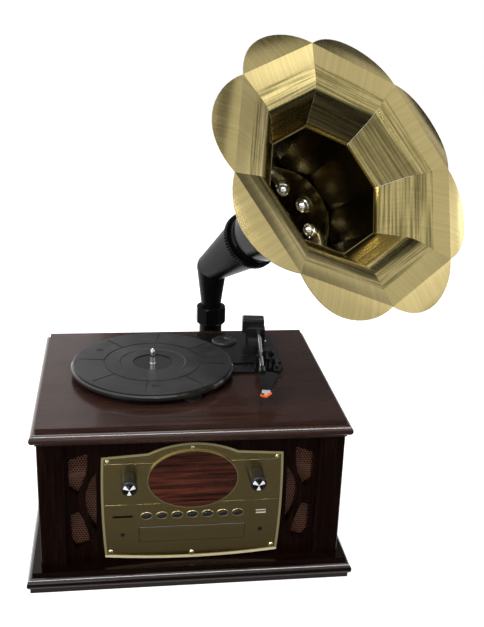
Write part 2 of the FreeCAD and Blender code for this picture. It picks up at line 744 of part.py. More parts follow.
def make_power():
    foot = BODY_Z0
    x, y = SUPPLY_X, SUPPLY_Y
    core = box(span(x, CORE_W), span(y, CORE_D), (foot, foot + CORE_H))
    coil = box(span(x, CORE_W * 0.6), span(y, COIL_D), span(foot + CORE_H / 2, CORE_H * 0.6))
    coil = softened(coil, COIL_ROUND)
    ears = box(span(x, CORE_W + 2 * EAR_W), span(y, CORE_D - 4), (foot, foot + EAR_T))
    save("power_transformer", core.fuse([coil, ears]).removeSplitter())

    board_z = foot + STANDOFF_H
    x_span, y_span = span(-SUPPLY_X, AMP_W), span(SUPPLY_Y, AMP_D)
    board = box(x_span, y_span, (board_z, board_z + BOARD_T))
    parts = []
    for px in (x_span[0] + STANDOFF_IN, x_span[1] - STANDOFF_IN):
        for py in (y_span[0] + STANDOFF_IN, y_span[1] - STANDOFF_IN):
            parts.append(rod(STANDOFF_R, Vector(px, py, foot), Vector(px, py, board_z + BOARD_T / 2)))
    for step in range(3):
        can_x = x_span[0] + 3 * CAN_R + 2.6 * CAN_R * step
        can = Vector(can_x, y_span[0] + 3 * CAN_R, board_z + BOARD_T / 2)
        parts.append(rod(CAN_R, can, can + Z * CAN_H))
    sink_y = y_span[1] - 3 * STANDOFF_IN
    sink_z = (board_z + BOARD_T / 2, board_z + SINK_H)
    pitch = AMP_W * 0.8 / SINK_FINS
    parts.append(box(span(-SUPPLY_X, AMP_W * 0.8), (sink_y, sink_y + SINK_T), sink_z))
    for step in range(SINK_FINS):
        fin_x = -SUPPLY_X + pitch * (step - (SINK_FINS - 1) / 2)
        fin_y = (sink_y - SINK_D, sink_y + SINK_T / 2)
        parts.append(box(span(fin_x, SINK_T), fin_y, (sink_z[0] + 5, sink_z[1])))
    save("amplifier_board", board.fuse(parts).removeSplitter())

    x, z = inlet_corners()[0]
    flange = box((x[0] - INLET_FLANGE, x[1] + INLET_FLANGE), (HALF_D, HALF_D + 2),
                 (z[0] - INLET_FLANGE, z[1] + INLET_FLANGE))
    body = box((x[0] + FIT, x[1] - FIT), (HALF_D - BACK_T - 6, HALF_D + 1), (z[0] + FIT, z[1] - FIT))
    hollow = box((x[0] + 2, x[1] - 2), (HALF_D - BACK_T, HALF_D + 3), (z[0] + 2, z[1] - 2))
    pins = [box((px - 1, px + 1), (HALF_D - BACK_T - 1, HALF_D - 2), (z[0] + 7, z[0] + 12))
            for px in (x[0] + 9, x[1] - 9)]
    save("power_inlet", flange.fuse(body).cut(hollow).fuse(pins).removeSplitter())


# Record deck plate, with a disc hidden under the platter that carries spindle and motor
def make_deck():
    corner = DECK_CORNER
    outline = polygon([
        Vector(DECK_LEFT, DECK_BACK, TOP_Z), Vector(DECK_RIGHT - corner, DECK_BACK, TOP_Z),
        Vector(DECK_RIGHT, DECK_BACK - corner, TOP_Z), Vector(DECK_RIGHT, DECK_FRONT + corner, TOP_Z),
        Vector(DECK_RIGHT - corner / 2, DECK_FRONT, TOP_Z),
        Vector(SPINDLE_X + DECK_DISC_R, DECK_FRONT, TOP_Z), spindle_at(TOP_Z),
        Vector(SPINDLE_X + 20, SPINDLE_Y + DECK_DISC_R - 5, TOP_Z),
    ])
    plate = outline.extrude(Z * DECK_T)
    plate = plate.fuse(rod(DECK_DISC_R, spindle_at(TOP_Z), spindle_at(DECK_Z))).removeSplitter()
    ledge = box((SPINDLE_X + DECK_DISC_R + 0.5, DECK_RIGHT + 1),
                (DECK_FRONT - 1, DECK_FRONT + DECK_LEDGE_D), (LEDGE_Z, DECK_Z + 1))
    plate = plate.cut(ledge)
    low, high = TOP_Z - TURRET_DEPTH - 1, DECK_Z + 1
    boss = rod(SPINDLE_BOSS_R, spindle_at(TOP_Z - BEARING_DEPTH), spindle_at(PLATTER_Z + 0.5))
    turret_boss = rod(TURRET_BOSS_R, pivot_at(TOP_Z - TURRET_DEPTH), pivot_at(DECK_Z))
    plate = plate.fuse([boss, turret_boss]).removeSplitter()
    plate = plate.cut(rod(BEARING_R, spindle_at(low), spindle_at(PLATTER_TOP)))
    plate = plate.cut(rod(TURRET_POST_R + FIT, pivot_at(low), pivot_at(high)))
    plate = plate.cut(rod(3.0, motor_at(low), motor_at(high)))
    slot = span(SPEED_Y, SPEED_L + 2 * SPEED_TRAVEL + 2 * GAP)
    plate = plate.cut(box(span(SPEED_X, SPEED_T + 2 * GAP), slot, (low, high)))
    well = Vector(ADAPTER_X, ADAPTER_Y, DECK_Z - WELL_DEPTH)
    plate = plate.cut(rod(ADAPTER_R + GAP, well, well + Z * 10))
    plate = plate.fuse(rod(SPINDLE_R - GAP, well - Z * 0.5, well + Z * (ADAPTER_T - 1))).removeSplitter()
    save("deck_plate", plate)

    adapter = turned([
        (SPINDLE_R + 0.15, 0), (ADAPTER_R, 0), (ADAPTER_R, ADAPTER_T - 2), (ADAPTER_R - 2, ADAPTER_T),
        (9, ADAPTER_T), (8, ADAPTER_T - 1.5), (SPINDLE_R + 0.15, ADAPTER_T - 1.5),
    ], well)
    save("adapter_45", adapter)
    tab = box(span(SPEED_X, SPEED_T), span(SPEED_Y, SPEED_L), (TOP_Z - SPEED_TAIL, DECK_Z + 6))
    cap = box(span(SPEED_X, SPEED_T + 5), span(SPEED_Y, SPEED_L + 2), (DECK_Z + GAP, DECK_Z + 4))
    cap = cap.makeFillet(1.0, [e for e in cap.Edges if e.BoundBox.ZMin > DECK_Z + 1])
    save("speed_lever", tab.fuse(cap))


def make_turntable():
    foot = TOP_Z - BEARING_DEPTH
    tip = TOP_Z + SPINDLE_TOP
    pin = turned([
        (0, foot), (BEARING_R, foot), (BEARING_R, PLATTER_TOP), (SPINDLE_R, PLATTER_TOP),
        (SPINDLE_R, tip), (SPINDLE_R * 0.93, tip + SPINDLE_TIP * 0.3),
        (SPINDLE_R * 0.72, tip + SPINDLE_TIP * 0.65), (SPINDLE_R * 0.4, tip + SPINDLE_TIP * 0.9),
        (0, tip + SPINDLE_TIP),
    ], spindle_at(0))
    save("spindle", pin)
    under = PLATTER_TOP - PLATTER_SKIN
    bore = BEARING_R + FIT
    seat = PLATTER_Z + 0.5 + GAP
    ring = DRIVE_RING_R - DRIVE_RING_T
    skirt = PLATTER_R - PLATTER_SKIRT
    platter = turned([
        (bore, seat), (HUB_R, seat), (HUB_R, under), (ring, under), (ring, PLATTER_Z),
        (DRIVE_RING_R, PLATTER_Z), (DRIVE_RING_R, under), (skirt, under), (skirt, PLATTER_Z),
        (PLATTER_R - 1, PLATTER_Z), (PLATTER_R, PLATTER_Z + 1.5), (PLATTER_R, PLATTER_TOP - 2),
        (PLATTER_R - 2, PLATTER_TOP), (bore, PLATTER_TOP),
    ], spindle_at(0))
    save("platter", platter)

    top = MAT_TOP
    dish = top - MAT_DISH_DEPTH
    groove_z = top - MAT_GROOVE_DEPTH
    ring_in, ring_out = span(MAT_RING_R, MAT_GROOVE_W)
    mat = turned([
        (MAT_HOLE_R, PLATTER_TOP), (MAT_R, PLATTER_TOP), (MAT_R, dish), (MAT_R - 0.8, top), (ring_out, top),
        (ring_out, groove_z), (ring_in, groove_z), (ring_in, top), (MAT_DISH_R + 1, top), (MAT_DISH_R, dish),
        (MAT_HOLE_R, dish),
    ], spindle_at(0))
    for step in range(MAT_GROOVES):
        groove = box((MAT_RING_R, MAT_R - MAT_GROOVE_STOP), span(0, MAT_GROOVE_W), (groove_z, top + 1))
        groove.rotate(ORIGIN, Z, 360 / MAT_GROOVES * step + MAT_GROOVE_TURN)
        groove.translate(spindle_at(0))
        mat = mat.cut(groove)
    for step in range(MAT_PADS):
        angle = math.radians(MAT_PAD_TURN + 360 / MAT_PADS * step)
        pad = spindle_at(dish) + Vector(math.cos(angle), math.sin(angle), 0) * MAT_PAD_OUT
        mat = mat.cut(rod(MAT_PAD_R, pad, pad + Z))
    save("platter_mat", mat)

    motor = rod(MOTOR_R, motor_at(TOP_Z - MOTOR_H), motor_at(TOP_Z))
    save("platter_motor", motor.cut(rod(1.0 + FIT, motor_at(TOP_Z - 8), motor_at(TOP_Z + 1))))
    pulley_z = PLATTER_Z + GAP
    pulley = rod(PULLEY_R, motor_at(pulley_z), motor_at(under - GAP))
    save("motor_pulley", pulley.fuse(rod(1.0, motor_at(TOP_Z - 7.5), motor_at(pulley_z + 1))))
    belt_z = PLATTER_Z + GAP + 0.3
    loop = belt_loop(0.2 + BELT_T).extrude(Z * BELT_H).cut(belt_loop(0.2).extrude(Z * BELT_H))
    loop.rotate(ORIGIN, Z, MOTOR_ANGLE)
    loop.translate(spindle_at(belt_z))
    save("drive_belt", loop)


def belt_loop(clear):
    """Face bounded by an open belt round the platter's drive ring and the pulley, with the pulley on +X."""
    big, small = DRIVE_RING_R + clear, PULLEY_R + clear
    angle = math.acos((DRIVE_RING_R - PULLEY_R) / MOTOR_OFFSET)
    up = Vector(math.cos(angle), math.sin(angle), 0)
    down = Vector(up.x, -up.y, 0)
    far = X * MOTOR_OFFSET
    return closed_face([
        Part.LineSegment(up * big, far + up * small),
        Part.Arc(far + up * small, far + X * small, far + down * small),
        Part.LineSegment(far + down * small, down * big),
        Part.Arc(down * big, X * -big, up * big),
    ])


# Tonearm pieces are drawn about the pivot, pointing to -Y, and placed together
def on_arm(shape):
    shape.rotate(ORIGIN, Z, ARM_YAW)
    shape.translate(pivot_at(0))
    return shape


def make_tonearm():
    seat = DECK_Z + GAP
    disc_top = seat + 4
    inner = YOKE_GAP / 2
    post = rod(TURRET_POST_R, Z * (TOP_Z - TURRET_DEPTH + 1), Z * (seat + 1))
    turret = rod(TURRET_R, Z * seat, Z * disc_top).fuse(post)
    for side in (-1, 1):
        cheek = box(sorted((side * inner, side * (inner + YOKE_T))), (-8, 8), (disc_top - 1, ARM_Z + 6))
        turret = turret.fuse(cheek)
    pin = X * (inner + YOKE_T)
    turret = turret.cut(rod(PIVOT_PIN_R + FIT, Z * ARM_Z - pin - X, Z * ARM_Z + pin + X))
    save("tonearm_turret", on_arm(turret.removeSplitter()))

    line = Vector(ARM_SIDE, 0, ARM_Z)
    gimbal = box((GAP - inner, inner - GAP), (-9, WEIGHT_BACK + 1), (ARM_Z - 7, ARM_Z + 7))
    weight_y = (WEIGHT_BACK, WEIGHT_BACK + WEIGHT_L)
    weight = box(span(WEIGHT_SIDE, WEIGHT_W), weight_y, (ARM_Z - 9, ARM_Z - 9 + WEIGHT_H))
    weight = softened(weight, 3.0)
    weight = weight.fuse([gimbal, rod(PIVOT_PIN_R, Z * ARM_Z - pin, Z * ARM_Z + pin)])
    weight = weight.cut(rod(ARM_TUBE_R + FIT, line - Y * 10, line - Y * 2))
    save("counterweight", on_arm(weight.removeSplitter()))
    tube = rod(ARM_TUBE_R, line - Y * 2, line - Y * ARM_TUBE_L)
    hollow = rod(ARM_TUBE_R - ARM_TUBE_WALL, line - Y, line - Y * (ARM_TUBE_L + 1))
    save("tonearm_tube", on_arm(tube.cut(hollow)))

    root, nose = -HEAD_OUT, -HEAD_OUT - HEAD_L
    under = ARM_Z - HEAD_DROP
    shell = polygon([
        Vector(HEAD_LEFT, root, under), Vector(HEAD_RIGHT, root - HEAD_SHOULDER / 3, under),
        Vector(HEAD_RIGHT, root - HEAD_SHOULDER, under), Vector(NOSE_RIGHT, nose, under),
        Vector(NOSE_LEFT, nose, under), Vector(HEAD_LEFT, root - HEAD_SHOULDER, under),
    ]).extrude(Z * HEAD_T)
    lift_y = root - HEAD_SHOULDER
    lift_x = (HEAD_RIGHT - 1, HEAD_RIGHT + LIFT_OUT)
    lift = box(lift_x, (lift_y, lift_y + LIFT_W), (ARM_Z - 1, under + HEAD_T))
    collar_end = line - Y * (HEAD_OUT + COLLAR_L / 3)
    collar = rod(ARM_TUBE_R + COLLAR_T, collar_end, collar_end + Y * COLLAR_L)
    bore = rod(ARM_TUBE_R + FIT, line - Y * ARM_TUBE_L, line - Y * (HEAD_OUT - COLLAR_L))
    save("headshell", on_arm(shell.fuse([lift, collar]).cut(bore).removeSplitter()))

    body_z = STYLUS_Z + 1.5
    middle = (NOSE_LEFT + NOSE_RIGHT) / 2
    wide = (NOSE_LEFT + CARTRIDGE_IN, NOSE_RIGHT - CARTRIDGE_IN)
    front = nose - CARTRIDGE_FRONT
    cartridge = box(wide, (nose, nose + CARTRIDGE_L), (body_z, under))
    bar = box(wide, (front, nose), (under - 1, under + HEAD_T - 0.5))
    stem = box(span(middle, CARTRIDGE_STEM_W), (front, nose), (body_z, under + 1))
    save("cartridge", on_arm(cartridge.fuse([bar, stem]).removeSplitter()))
    low = body_z - STYLUS_T / 3
    half = STYLUS_W / 2
    guard = polygon([
        Vector(middle - half, front, low + STYLUS_T), Vector(middle - 1, front, low),
        Vector(middle + 1, front, low), Vector(middle + half, front, low + 3 * STYLUS_T),
        Vector(middle + half - 1, front, low + 4 * STYLUS_T), Vector(middle, front, low + STYLUS_T),
        Vector(middle - half, front, low + 2 * STYLUS_T),
    ]).extrude(Y * -STYLUS_D)
    tip = Vector(middle, front - STYLUS_D / 2, 0)
    needle = taper(0.4, 1.2, tip + Z * STYLUS_Z, tip + Z * body_z)
    save("stylus", on_arm(guard.fuse(needle).removeSplitter()))


def make_arm_rest():
    base_z = LEDGE_Z
    floor_z = ARM_Z - ARM_TUBE_R - GAP
    rest_y = span(-REST_OUT, 6)
    cue_y = -CUE_OUT
    right = ARM_SIDE + ARM_TUBE_R + 5
    base = box((ARM_SIDE - 8, right + 12), (rest_y[0], cue_y + 7), (base_z, base_z + 3))
    post = box((ARM_SIDE - 6, right), rest_y, (base_z, floor_z))
    prong = box((ARM_SIDE + ARM_TUBE_R + 2 * GAP, right), rest_y, (floor_z - 1, ARM_Z + 5))
    rest = base.fuse([post, prong])
    axis = Vector(ARM_SIDE, cue_y, base_z + 10)
    for x in (right + 2, right + 9):
        rest = rest.fuse(box((x, x + 3), span(cue_y, 8), (base_z, axis.z + 4)))
    rest = rest.cut(rod(CUE_SHAFT_R + FIT, axis - X * 30, axis + X * 40))
    save("arm_rest", on_arm(rest.removeSplitter()))
    shaft = rod(CUE_SHAFT_R, axis - X * 5, axis + X * 25)
    finger = box(span(ARM_SIDE, 10), (cue_y - 7, cue_y), (axis.z, axis.z + 4))
    handle = box((right + 13, right + 17), (cue_y - 26, cue_y + 3), span(axis.z, 5))
    save("cue_lever", on_arm(shaft.fuse([finger, softened(handle, 1.0)]).removeSplitter()))


# Horn bracket and post behind the cabinet
def bracket_screw_places():
    middle = TOP_Z - BRACKET_DROP - TOP_T - BRACKET_H / 2
    return [Vector(POST_X + sx * (BRACKET_W / 2 - 8), HALF_D, middle + sz * (BRACKET_H / 2 - 8))
            for sx in (-1, 1) for sz in (-1, 1)]


def make_bracket():
    top = TOP_Z - BRACKET_DROP - TOP_T
    low = top - BRACKET_H
    plate = box((POST_X - BRACKET_W / 2, POST_X + BRACKET_W / 2), (HALF_D, HALF_D + BRACKET_T), (low, top))
    plate = plate.makeFillet(6.0, [e for e in plate.Edges if e.BoundBox.YLength > BRACKET_T / 2
                                   and e.BoundBox.ZLength < 1])
    axis = Vector(POST_X, POST_Y, 0)
    sleeve = rod(POST_R + SLEEVE_T, axis + Z * (low + 8), axis + Z * (top - 4))
    web = box((POST_X - 9, POST_X + 9), (HALF_D + 1, POST_Y), (low + 8, top - 4))
    bracket = plate.fuse([sleeve, web])
    seat = POST_TOP - POST_L
    bracket = bracket.cut(rod(POST_R + FIT, axis + Z * seat, axis + Z * (top + 1)))
    for place in bracket_screw_places():
        bracket = bracket.cut(rod(SCREW_SHANK_R + FIT, place - Y, place + Y * (BRACKET_T + 1)))
    save("horn_bracket", bracket.removeSplitter())
    screws = []
    for place in bracket_screw_places():
        head = turned([(0, 0), (SCREW_R, 0), (SCREW_R, 0.6), (SCREW_R * 0.7, 1.9), (0, 2.3)])
        head.rotate(ORIGIN, X, -90)
        head.translate(place + Y * BRACKET_T)
        screws.append(head.fuse(rod(SCREW_SHANK_R, place - Y * (BACK_T - 2), place + Y * BRACKET_T)))
    save("bracket_screws", *screws)
    pipe = rod(POST_R, axis + Z * seat, axis + Z * POST_TOP)
    save("horn_post", pipe.cut(rod(POST_R - POST_WALL, axis + Z * (seat - 1), axis + Z * (POST_TOP + 1))))


# Horn pieces are drawn along Z from the neck's bend, then turned to the horn's direction
def horn_placement():
    azimuth, rise = math.radians(HORN_AZIMUTH), math.radians(HORN_RISE)
    along = Vector(math.cos(rise) * math.cos(azimuth), math.cos(rise) * math.sin(azimuth), math.sin(rise))
    level = Vector(-math.sin(azimuth), math.cos(azimuth), 0)
    return FreeCAD.Placement(BEND, FreeCAD.Rotation(level, along.cross(level), along, "ZXY"))


def on_horn(shape):
    shape.Placement = horn_placement().multiply(shape.Placement)
    return shape


def make_neck():
    axis = Vector(POST_X, POST_Y, 0)
    collar_z = POST_TOP + GAP
    straight_z = POST_TOP + 14
    spigot = rod(POST_R - POST_WALL - FIT, axis + Z * (POST_TOP - 25), axis + Z * (collar_z + 1))
    collar = rod(POST_R - 0.4, axis + Z * collar_z, axis + Z * (collar_z + 3))
    straight = rod(NECK_R, axis + Z * collar_z, axis + Z * straight_z)
    rising = taper(NECK_R, NECK_BEND_R, axis + Z * straight_z, BEND)
    ball = Part.makeSphere(NECK_BEND_R, BEND)
    cone = on_horn(taper(NECK_BEND_R, NECK_END_R, ORIGIN, Z * NECK_L))
    end = on_horn(rod(SPIGOT_R, Z * (NECK_L - 1), Z * (NECK_L + SPIGOT_L)))
    neck = spigot.fuse([collar, straight, rising, ball, cone, end])
    wall = NECK_WALL
    hollow = rod(NECK_R - wall, axis + Z * (POST_TOP - 26), axis + Z * straight_z)
    hollow = hollow.fuse([
        taper(NECK_R - wall, NECK_BEND_R - wall, axis + Z * straight_z, BEND),
        Part.makeSphere(NECK_BEND_R - wall, BEND),
        on_horn(taper(NECK_BEND_R - wall, NECK_END_R - wall - 2, ORIGIN, Z * NECK_L)),
        on_horn(rod(NECK_END_R - wall - 2, Z * (NECK_L - 0.5), Z * (NECK_L + SPIGOT_L + 1))),
    ])
    save("horn_neck", neck.cut(hollow))

    low = POST_TOP - NUT_BELOW
    across = NUT_ACROSS / 2
    corner = across / math.cos(math.pi / 8)
    angles = [math.pi / 8 * (2 * k + 1) for k in range(8)]
    nut = polygon([Vector(corner * math.cos(a), corner * math.sin(a), low) for a in angles])
    high = low + NUT_H
    bevel = turned([
        (0, low), (across, low), (corner, low + 3), (corner, high - 3), (across, high), (0, high),
    ])
    nut = nut.extrude(Z * NUT_H).common(bevel)
    nut.translate(axis)
    nut = nut.cut(rod(POST_R + GAP, axis + Z * (low - 1), axis + Z * (collar_z + 3 + GAP)))
    save("union_nut", nut.cut(rod(NECK_R + GAP, axis + Z * low, axis + Z * (low + NUT_H + 1))))

    face = []
    for rib in range(RING_RIBS):
        for share, radius in ((0.0, RING_R - RING_RIB_H), (0.35, RING_R), (0.65, RING_R)):
            angle = 2 * math.pi * (rib + share) / RING_RIBS
            face.append(Vector(radius * math.cos(angle), radius * math.sin(angle), NECK_L + GAP))
    knurl = polygon(face).extrude(Z * RING_W)
    save("lock_ring", on_horn(knurl.cut(rod(SPIGOT_R + FIT, Z * NECK_L, Z * (NECK_L + RING_W + 1)))))


def cup_radius(along):
    start = NECK_L + RING_W + 2 * GAP + CUP_STRAIGHT
    return SPIGOT_R + FIT + (CUP_END_R - SPIGOT_R) * max(0.0, along - start) / (CUP_END - start)


def throat_apothem(along):
    share = (along - THROAT_START) / (THROAT_END - THROAT_START)
    return THROAT_START_A + share * (THROAT_END_A - THROAT_START_A)


def octagon(apothem, along):
    corner = apothem / math.cos(math.pi / PETALS)
    angles = [math.pi / PETALS * (2 * k + 1) for k in list(range(PETALS)) + [0]]
    wire = Part.makePolygon([Vector(corner * math.cos(a), corner * math.sin(a), along) for a in angles])
    wire.rotate(ORIGIN, Z, PETAL_TURN)
    return wire


def make_horn():
    start = NECK_L + RING_W + 2 * GAP
    flare = start + CUP_STRAIGHT
    cup = turned([
        (SPIGOT_R + FIT, start), (SPIGOT_R + FIT, flare), (cup_radius(CUP_END), CUP_END),
        (cup_radius(CUP_END) + CUP_T, CUP_END), (SPIGOT_R + FIT + CUP_T, flare),
        (SPIGOT_R + FIT + CUP_T, start),
    ])
    save("throat_cup", on_horn(cup))

    wall = SHEET_T + 0.2
    outside = [octagon(throat_apothem(t) + wall, t) for t in (THROAT_START, THROAT_END)]
    inside = [octagon(throat_apothem(t), t) for t in (THROAT_START - 1, THROAT_END + 1)]
    outer, inner = Part.makeLoft(outside, True, True), Part.makeLoft(inside, True, True)
    back = Part.Face(octagon(THROAT_START_A + wall, THROAT_START - 2)).extrude(Z * 2.0)
    hole = cup_radius(THROAT_START) + CUP_T + FIT
    throat = outer.cut(inner).fuse(back.cut(rod(hole, Z * (THROAT_START - 3), Z * (THROAT_START + 1))))
    save("horn_throat", on_horn(throat.removeSplitter()))

    slope = math.atan2(CUP_END_R - SPIGOT_R, CUP_END - flare)
    nuts = []
    for step in range(PETALS):
        top = DOME_BASE_H + 1
        dome = turned([(0, 0), (DOME_R, 0), (DOME_R, DOME_BASE_H), (DOME_R - 1, top), (0, top)])
        below = box(span(0, 3 * DOME_R), span(0, 3 * DOME_R), (-3 * DOME_R, 0))
        dome = dome.fuse(Part.makeSphere(DOME_R - 1.2, Z * top)).cut(below)
        dome.rotate(ORIGIN, Y, math.degrees(slope) - 90)
        dome.translate(Vector(cup_radius(NUT_RING) - DOME_R ** 2 / (2 * cup_radius(NUT_RING)), 0, NUT_RING))
        dome.rotate(ORIGIN, Z, PETAL_TURN + 360 / PETALS * step)
        nuts.append(on_horn(dome))
    save("dome_nuts", *nuts)
    save("horn_petals", *[on_horn(petal(step)) for step in range(PETALS)])


def curve_through(points):
    curve = Part.BSplineCurve()
    curve.interpolate(points)
    return curve


def behind(curve, point):
    """The way to a petal's back, square to its profile."""
    tangent = curve.tangent(curve.parameter(point))[0]
    return Vector(tangent.z, 0, -tangent.x)


def petal_section():
    """A petal's profile: the flare rises from the throat to a sharp fold, and the lip bends back from there."""
    lap = [THROAT_END - LAP * share for share in (1, 0.5, 0.2, 0)]
    seat = SHEET_T + 0.4
    flare = [Vector(throat_apothem(along) + seat, 0, along) for along in lap]
    for outward, along in FLARE_CURVE:
        apothem = THROAT_END_A + outward * (VALLEY_A - THROAT_END_A)
        flare.append(Vector(apothem, 0, THROAT_END + along * FLARE_L))
    fold = Vector(VALLEY_A, 0, MOUTH)
    flare.append(fold)
    end = Vector(TIP_A + LIP_SPARE, 0, MOUTH - LIP_DROP)
    lip = [fold, (fold + end) / 2 + Z * LIP_BOW, end]
    flare_front, lip_front = curve_through(flare), curve_through(lip)
    flare_back = [point + behind(flare_front, point) * SHEET_T for point in flare[:-1]]
    lip_back = [point + behind(lip_front, point) * SHEET_T for point in lip[1:]]
    before, after = behind(flare_front, fold), behind(lip_front, fold)
    inner_fold = fold + (before + after) * (SHEET_T / (1 + before.dot(after)))
    return closed_face([
        flare_front, lip_front, Part.LineSegment(end, lip_back[-1]), curve_through([inner_fold] + lip_back),
        curve_through(flare_back + [inner_fold]), Part.LineSegment(flare_back[0], flare[0]),
    ])


def petal(step):
    """One folded petal: its profile, straight across, cut to its wedge and to a round tip."""
    section = petal_section()
    reach = VALLEY_A
    section.translate(Y * -reach)
    sheet = section.extrude(Y * 2 * reach)
    half = math.pi / PETALS
    apex = Vector(SEAM / 2 / math.sin(half), 0, 0)
    valley = Vector(VALLEY_A, (VALLEY_A - apex.x) * math.tan(half), 0)
    opposite = Vector(valley.x, -valley.y, 0)
    wedge = closed_face([
        Part.LineSegment(apex, valley), Part.Arc(valley, Vector(TIP_A, 0, 0), opposite),
        Part.LineSegment(opposite, apex),
    ]).extrude(Z * 2 * MOUTH)
    leaf = sheet.common(wedge)
    leaf.rotate(ORIGIN, Z, PETAL_TURN + 360 / PETALS * step)
    return leaf


make_plinth()
make_top_board()
make_carcass()
make_front_panel()
make_speakers()
make_plate()
make_controls()
make_disc_drive()
make_power()
make_deck()
make_turntable()
make_tonearm()
make_arm_rest()
make_bracket()
make_neck()
make_horn()
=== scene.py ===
import bmesh
import bpy
import math
import numpy as np
from mathutils import Matrix, Vector


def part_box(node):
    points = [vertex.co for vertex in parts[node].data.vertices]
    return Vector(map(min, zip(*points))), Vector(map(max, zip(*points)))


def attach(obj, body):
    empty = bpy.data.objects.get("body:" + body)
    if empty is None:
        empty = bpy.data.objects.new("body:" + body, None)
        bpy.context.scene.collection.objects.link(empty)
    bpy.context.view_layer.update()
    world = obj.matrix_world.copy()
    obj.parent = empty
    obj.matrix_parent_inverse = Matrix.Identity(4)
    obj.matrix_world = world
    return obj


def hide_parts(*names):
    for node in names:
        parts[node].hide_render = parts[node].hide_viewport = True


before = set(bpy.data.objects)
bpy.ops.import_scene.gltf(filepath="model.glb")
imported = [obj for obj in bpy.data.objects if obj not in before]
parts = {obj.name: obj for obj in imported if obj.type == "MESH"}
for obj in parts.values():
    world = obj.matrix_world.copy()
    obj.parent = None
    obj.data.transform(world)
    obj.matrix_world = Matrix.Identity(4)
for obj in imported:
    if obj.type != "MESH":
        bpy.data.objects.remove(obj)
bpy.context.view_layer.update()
bpy.context.scene.view_settings.view_transform = "Standard"


# Cabinet: plinth, carcass and top board of dark stained mahogany, mitred at the corners and finished in thick
# gloss lacquer. The grain runs along each board; the lacquer has a slow ripple and faint rubbing marks.
def new_finish(name, colour, roughness, metallic=0.0):
    finish = bpy.data.materials.new(name)
    finish.use_nodes = True
    shader = finish.node_tree.nodes["Principled BSDF"]
    shader.inputs["Base Color"].default_value = (*colour, 1.0)
    shader.inputs["Roughness"].default_value = roughness
    shader.inputs["Metallic"].default_value = metallic
    return finish, finish.node_tree, shader


def dress(finish, *names):
    for name in names:
        for holder in parts[name].material_slots:
            holder.material = finish


def add(tree, kind, **values):
    """Adds a node. Each value is one of its settings or, in other letters, one of its inputs."""
    made = tree.nodes.new(kind)
    for key, value in values.items():
        if hasattr(made, key):
            setattr(made, key, value)
        else:
            made.inputs[key.replace("_", " ").title()].default_value = value
    return made


def join(tree, source, output, target, socket):
    tree.links.new(source.outputs[output], target.inputs[socket])


def tree_math(tree, operation, first, second):
    made = add(tree, "ShaderNodeMath", operation=operation)
    for socket, value in zip(made.inputs, (first, second)):
        if isinstance(value, (int, float)):
            socket.default_value = value
        else:
            tree.links.new(value, socket)
    return made.outputs[0]


def place_on(tree, kind="Object"):
    """The place on a piece, or its Normal or UV there."""
    return add(tree, "ShaderNodeTexCoord").outputs[kind]


def axis_of(tree, axis, kind="Object"):
    axes = add(tree, "ShaderNodeSeparateXYZ")
    tree.links.new(place_on(tree, kind), axes.inputs["Vector"])
    return axes.outputs[axis]


def toned(tree, source, *stops):
    """Turns a value into a colour. Each stop is a place between nought and one, and its colour."""
    ramp = add(tree, "ShaderNodeValToRGB")
    elements = ramp.color_ramp.elements
    elements[0].position, elements[1].position = stops[0][0], stops[-1][0]
    for place, _ in stops[1:-1]:
        elements.new(place)
    for element, (_, colour) in zip(elements, stops):
        element.color = (*colour, 1.0)
    tree.links.new(source, ramp.inputs["Fac"])
    return ramp.outputs["Color"]


def colour_mix(tree, share, first, second, blend="MIX"):
    """Goes from the first colour to the second as the share goes from nought to one."""
    made = add(tree, "ShaderNodeMix", data_type="RGBA", blend_type=blend)
    tree.links.new(share, made.inputs[0])
    for socket, value in ((made.inputs[6], first), (made.inputs[7], second)):
        if isinstance(value, bpy.types.NodeSocket):
            tree.links.new(value, socket)
        else:
            socket.default_value = (*value[:3], 1.0)
    return made.outputs[2]


def start_group(name, inputs, outputs):
    group = bpy.data.node_groups.new(name, "ShaderNodeTree")
    for label, kind in inputs:
        group.interface.new_socket(label, in_out="INPUT", socket_type=kind)
    for label in outputs:
        group.interface.new_socket(label, in_out="OUTPUT", socket_type="NodeSocketFloat")
    return group, group.nodes.new("NodeGroupInput"), group.nodes.new("NodeGroupOutput")


def group_noise(group, inputs, scale, share=None, **values):
    """Noise inside a group, as fine as one of the group's inputs or as a share of it."""
    noise = add(group, "ShaderNodeTexNoise", **values)
    join(group, inputs, "Vector", noise, "Vector")
    fineness = inputs.outputs[scale]
    if share is not None:
        fineness = tree_math(group, "MULTIPLY", fineness, share)
    group.links.new(fineness, noise.inputs["Scale"])
    return noise


def placed_group(tree, group, **values):
    holder = tree.nodes.new("ShaderNodeGroup")
    holder.node_tree = group
    for label, value in values.items():
        holder.inputs[label].default_value = value
    return holder


def stretched(tree, source, scale, group, **values):
    """Places a group on coordinates that are drawn out by a scale on each axis."""
    mapping = add(tree, "ShaderNodeMapping", Scale=scale)
    tree.links.new(source, mapping.inputs["Vector"])
    placed = placed_group(tree, group, **values)
    join(tree, mapping, "Vector", placed, "Vector")
    return placed


PORE_FINENESS = 7.0
wood_figure, figure_in, figure_out = start_group(
    "wood_figure", [("Vector", "NodeSocketVector"), ("Bands", "NodeSocketFloat")], ["Figure", "Pores"])
band_noise = group_noise(wood_figure, figure_in, "Bands", detail=6.0, roughness=0.62, distortion=0.9)
join(wood_figure, band_noise, "Fac", figure_out, "Figure")
pore_noise = group_noise(wood_figure, figure_in, "Bands", PORE_FINENESS, detail=3.0, roughness=0.7)
pore_range = add(wood_figure, "ShaderNodeMapRange", from_min=0.52, from_max=0.72)
join(wood_figure, pore_noise, "Fac", pore_range, "Value")
join(wood_figure, pore_range, "Result", figure_out, "Pores")

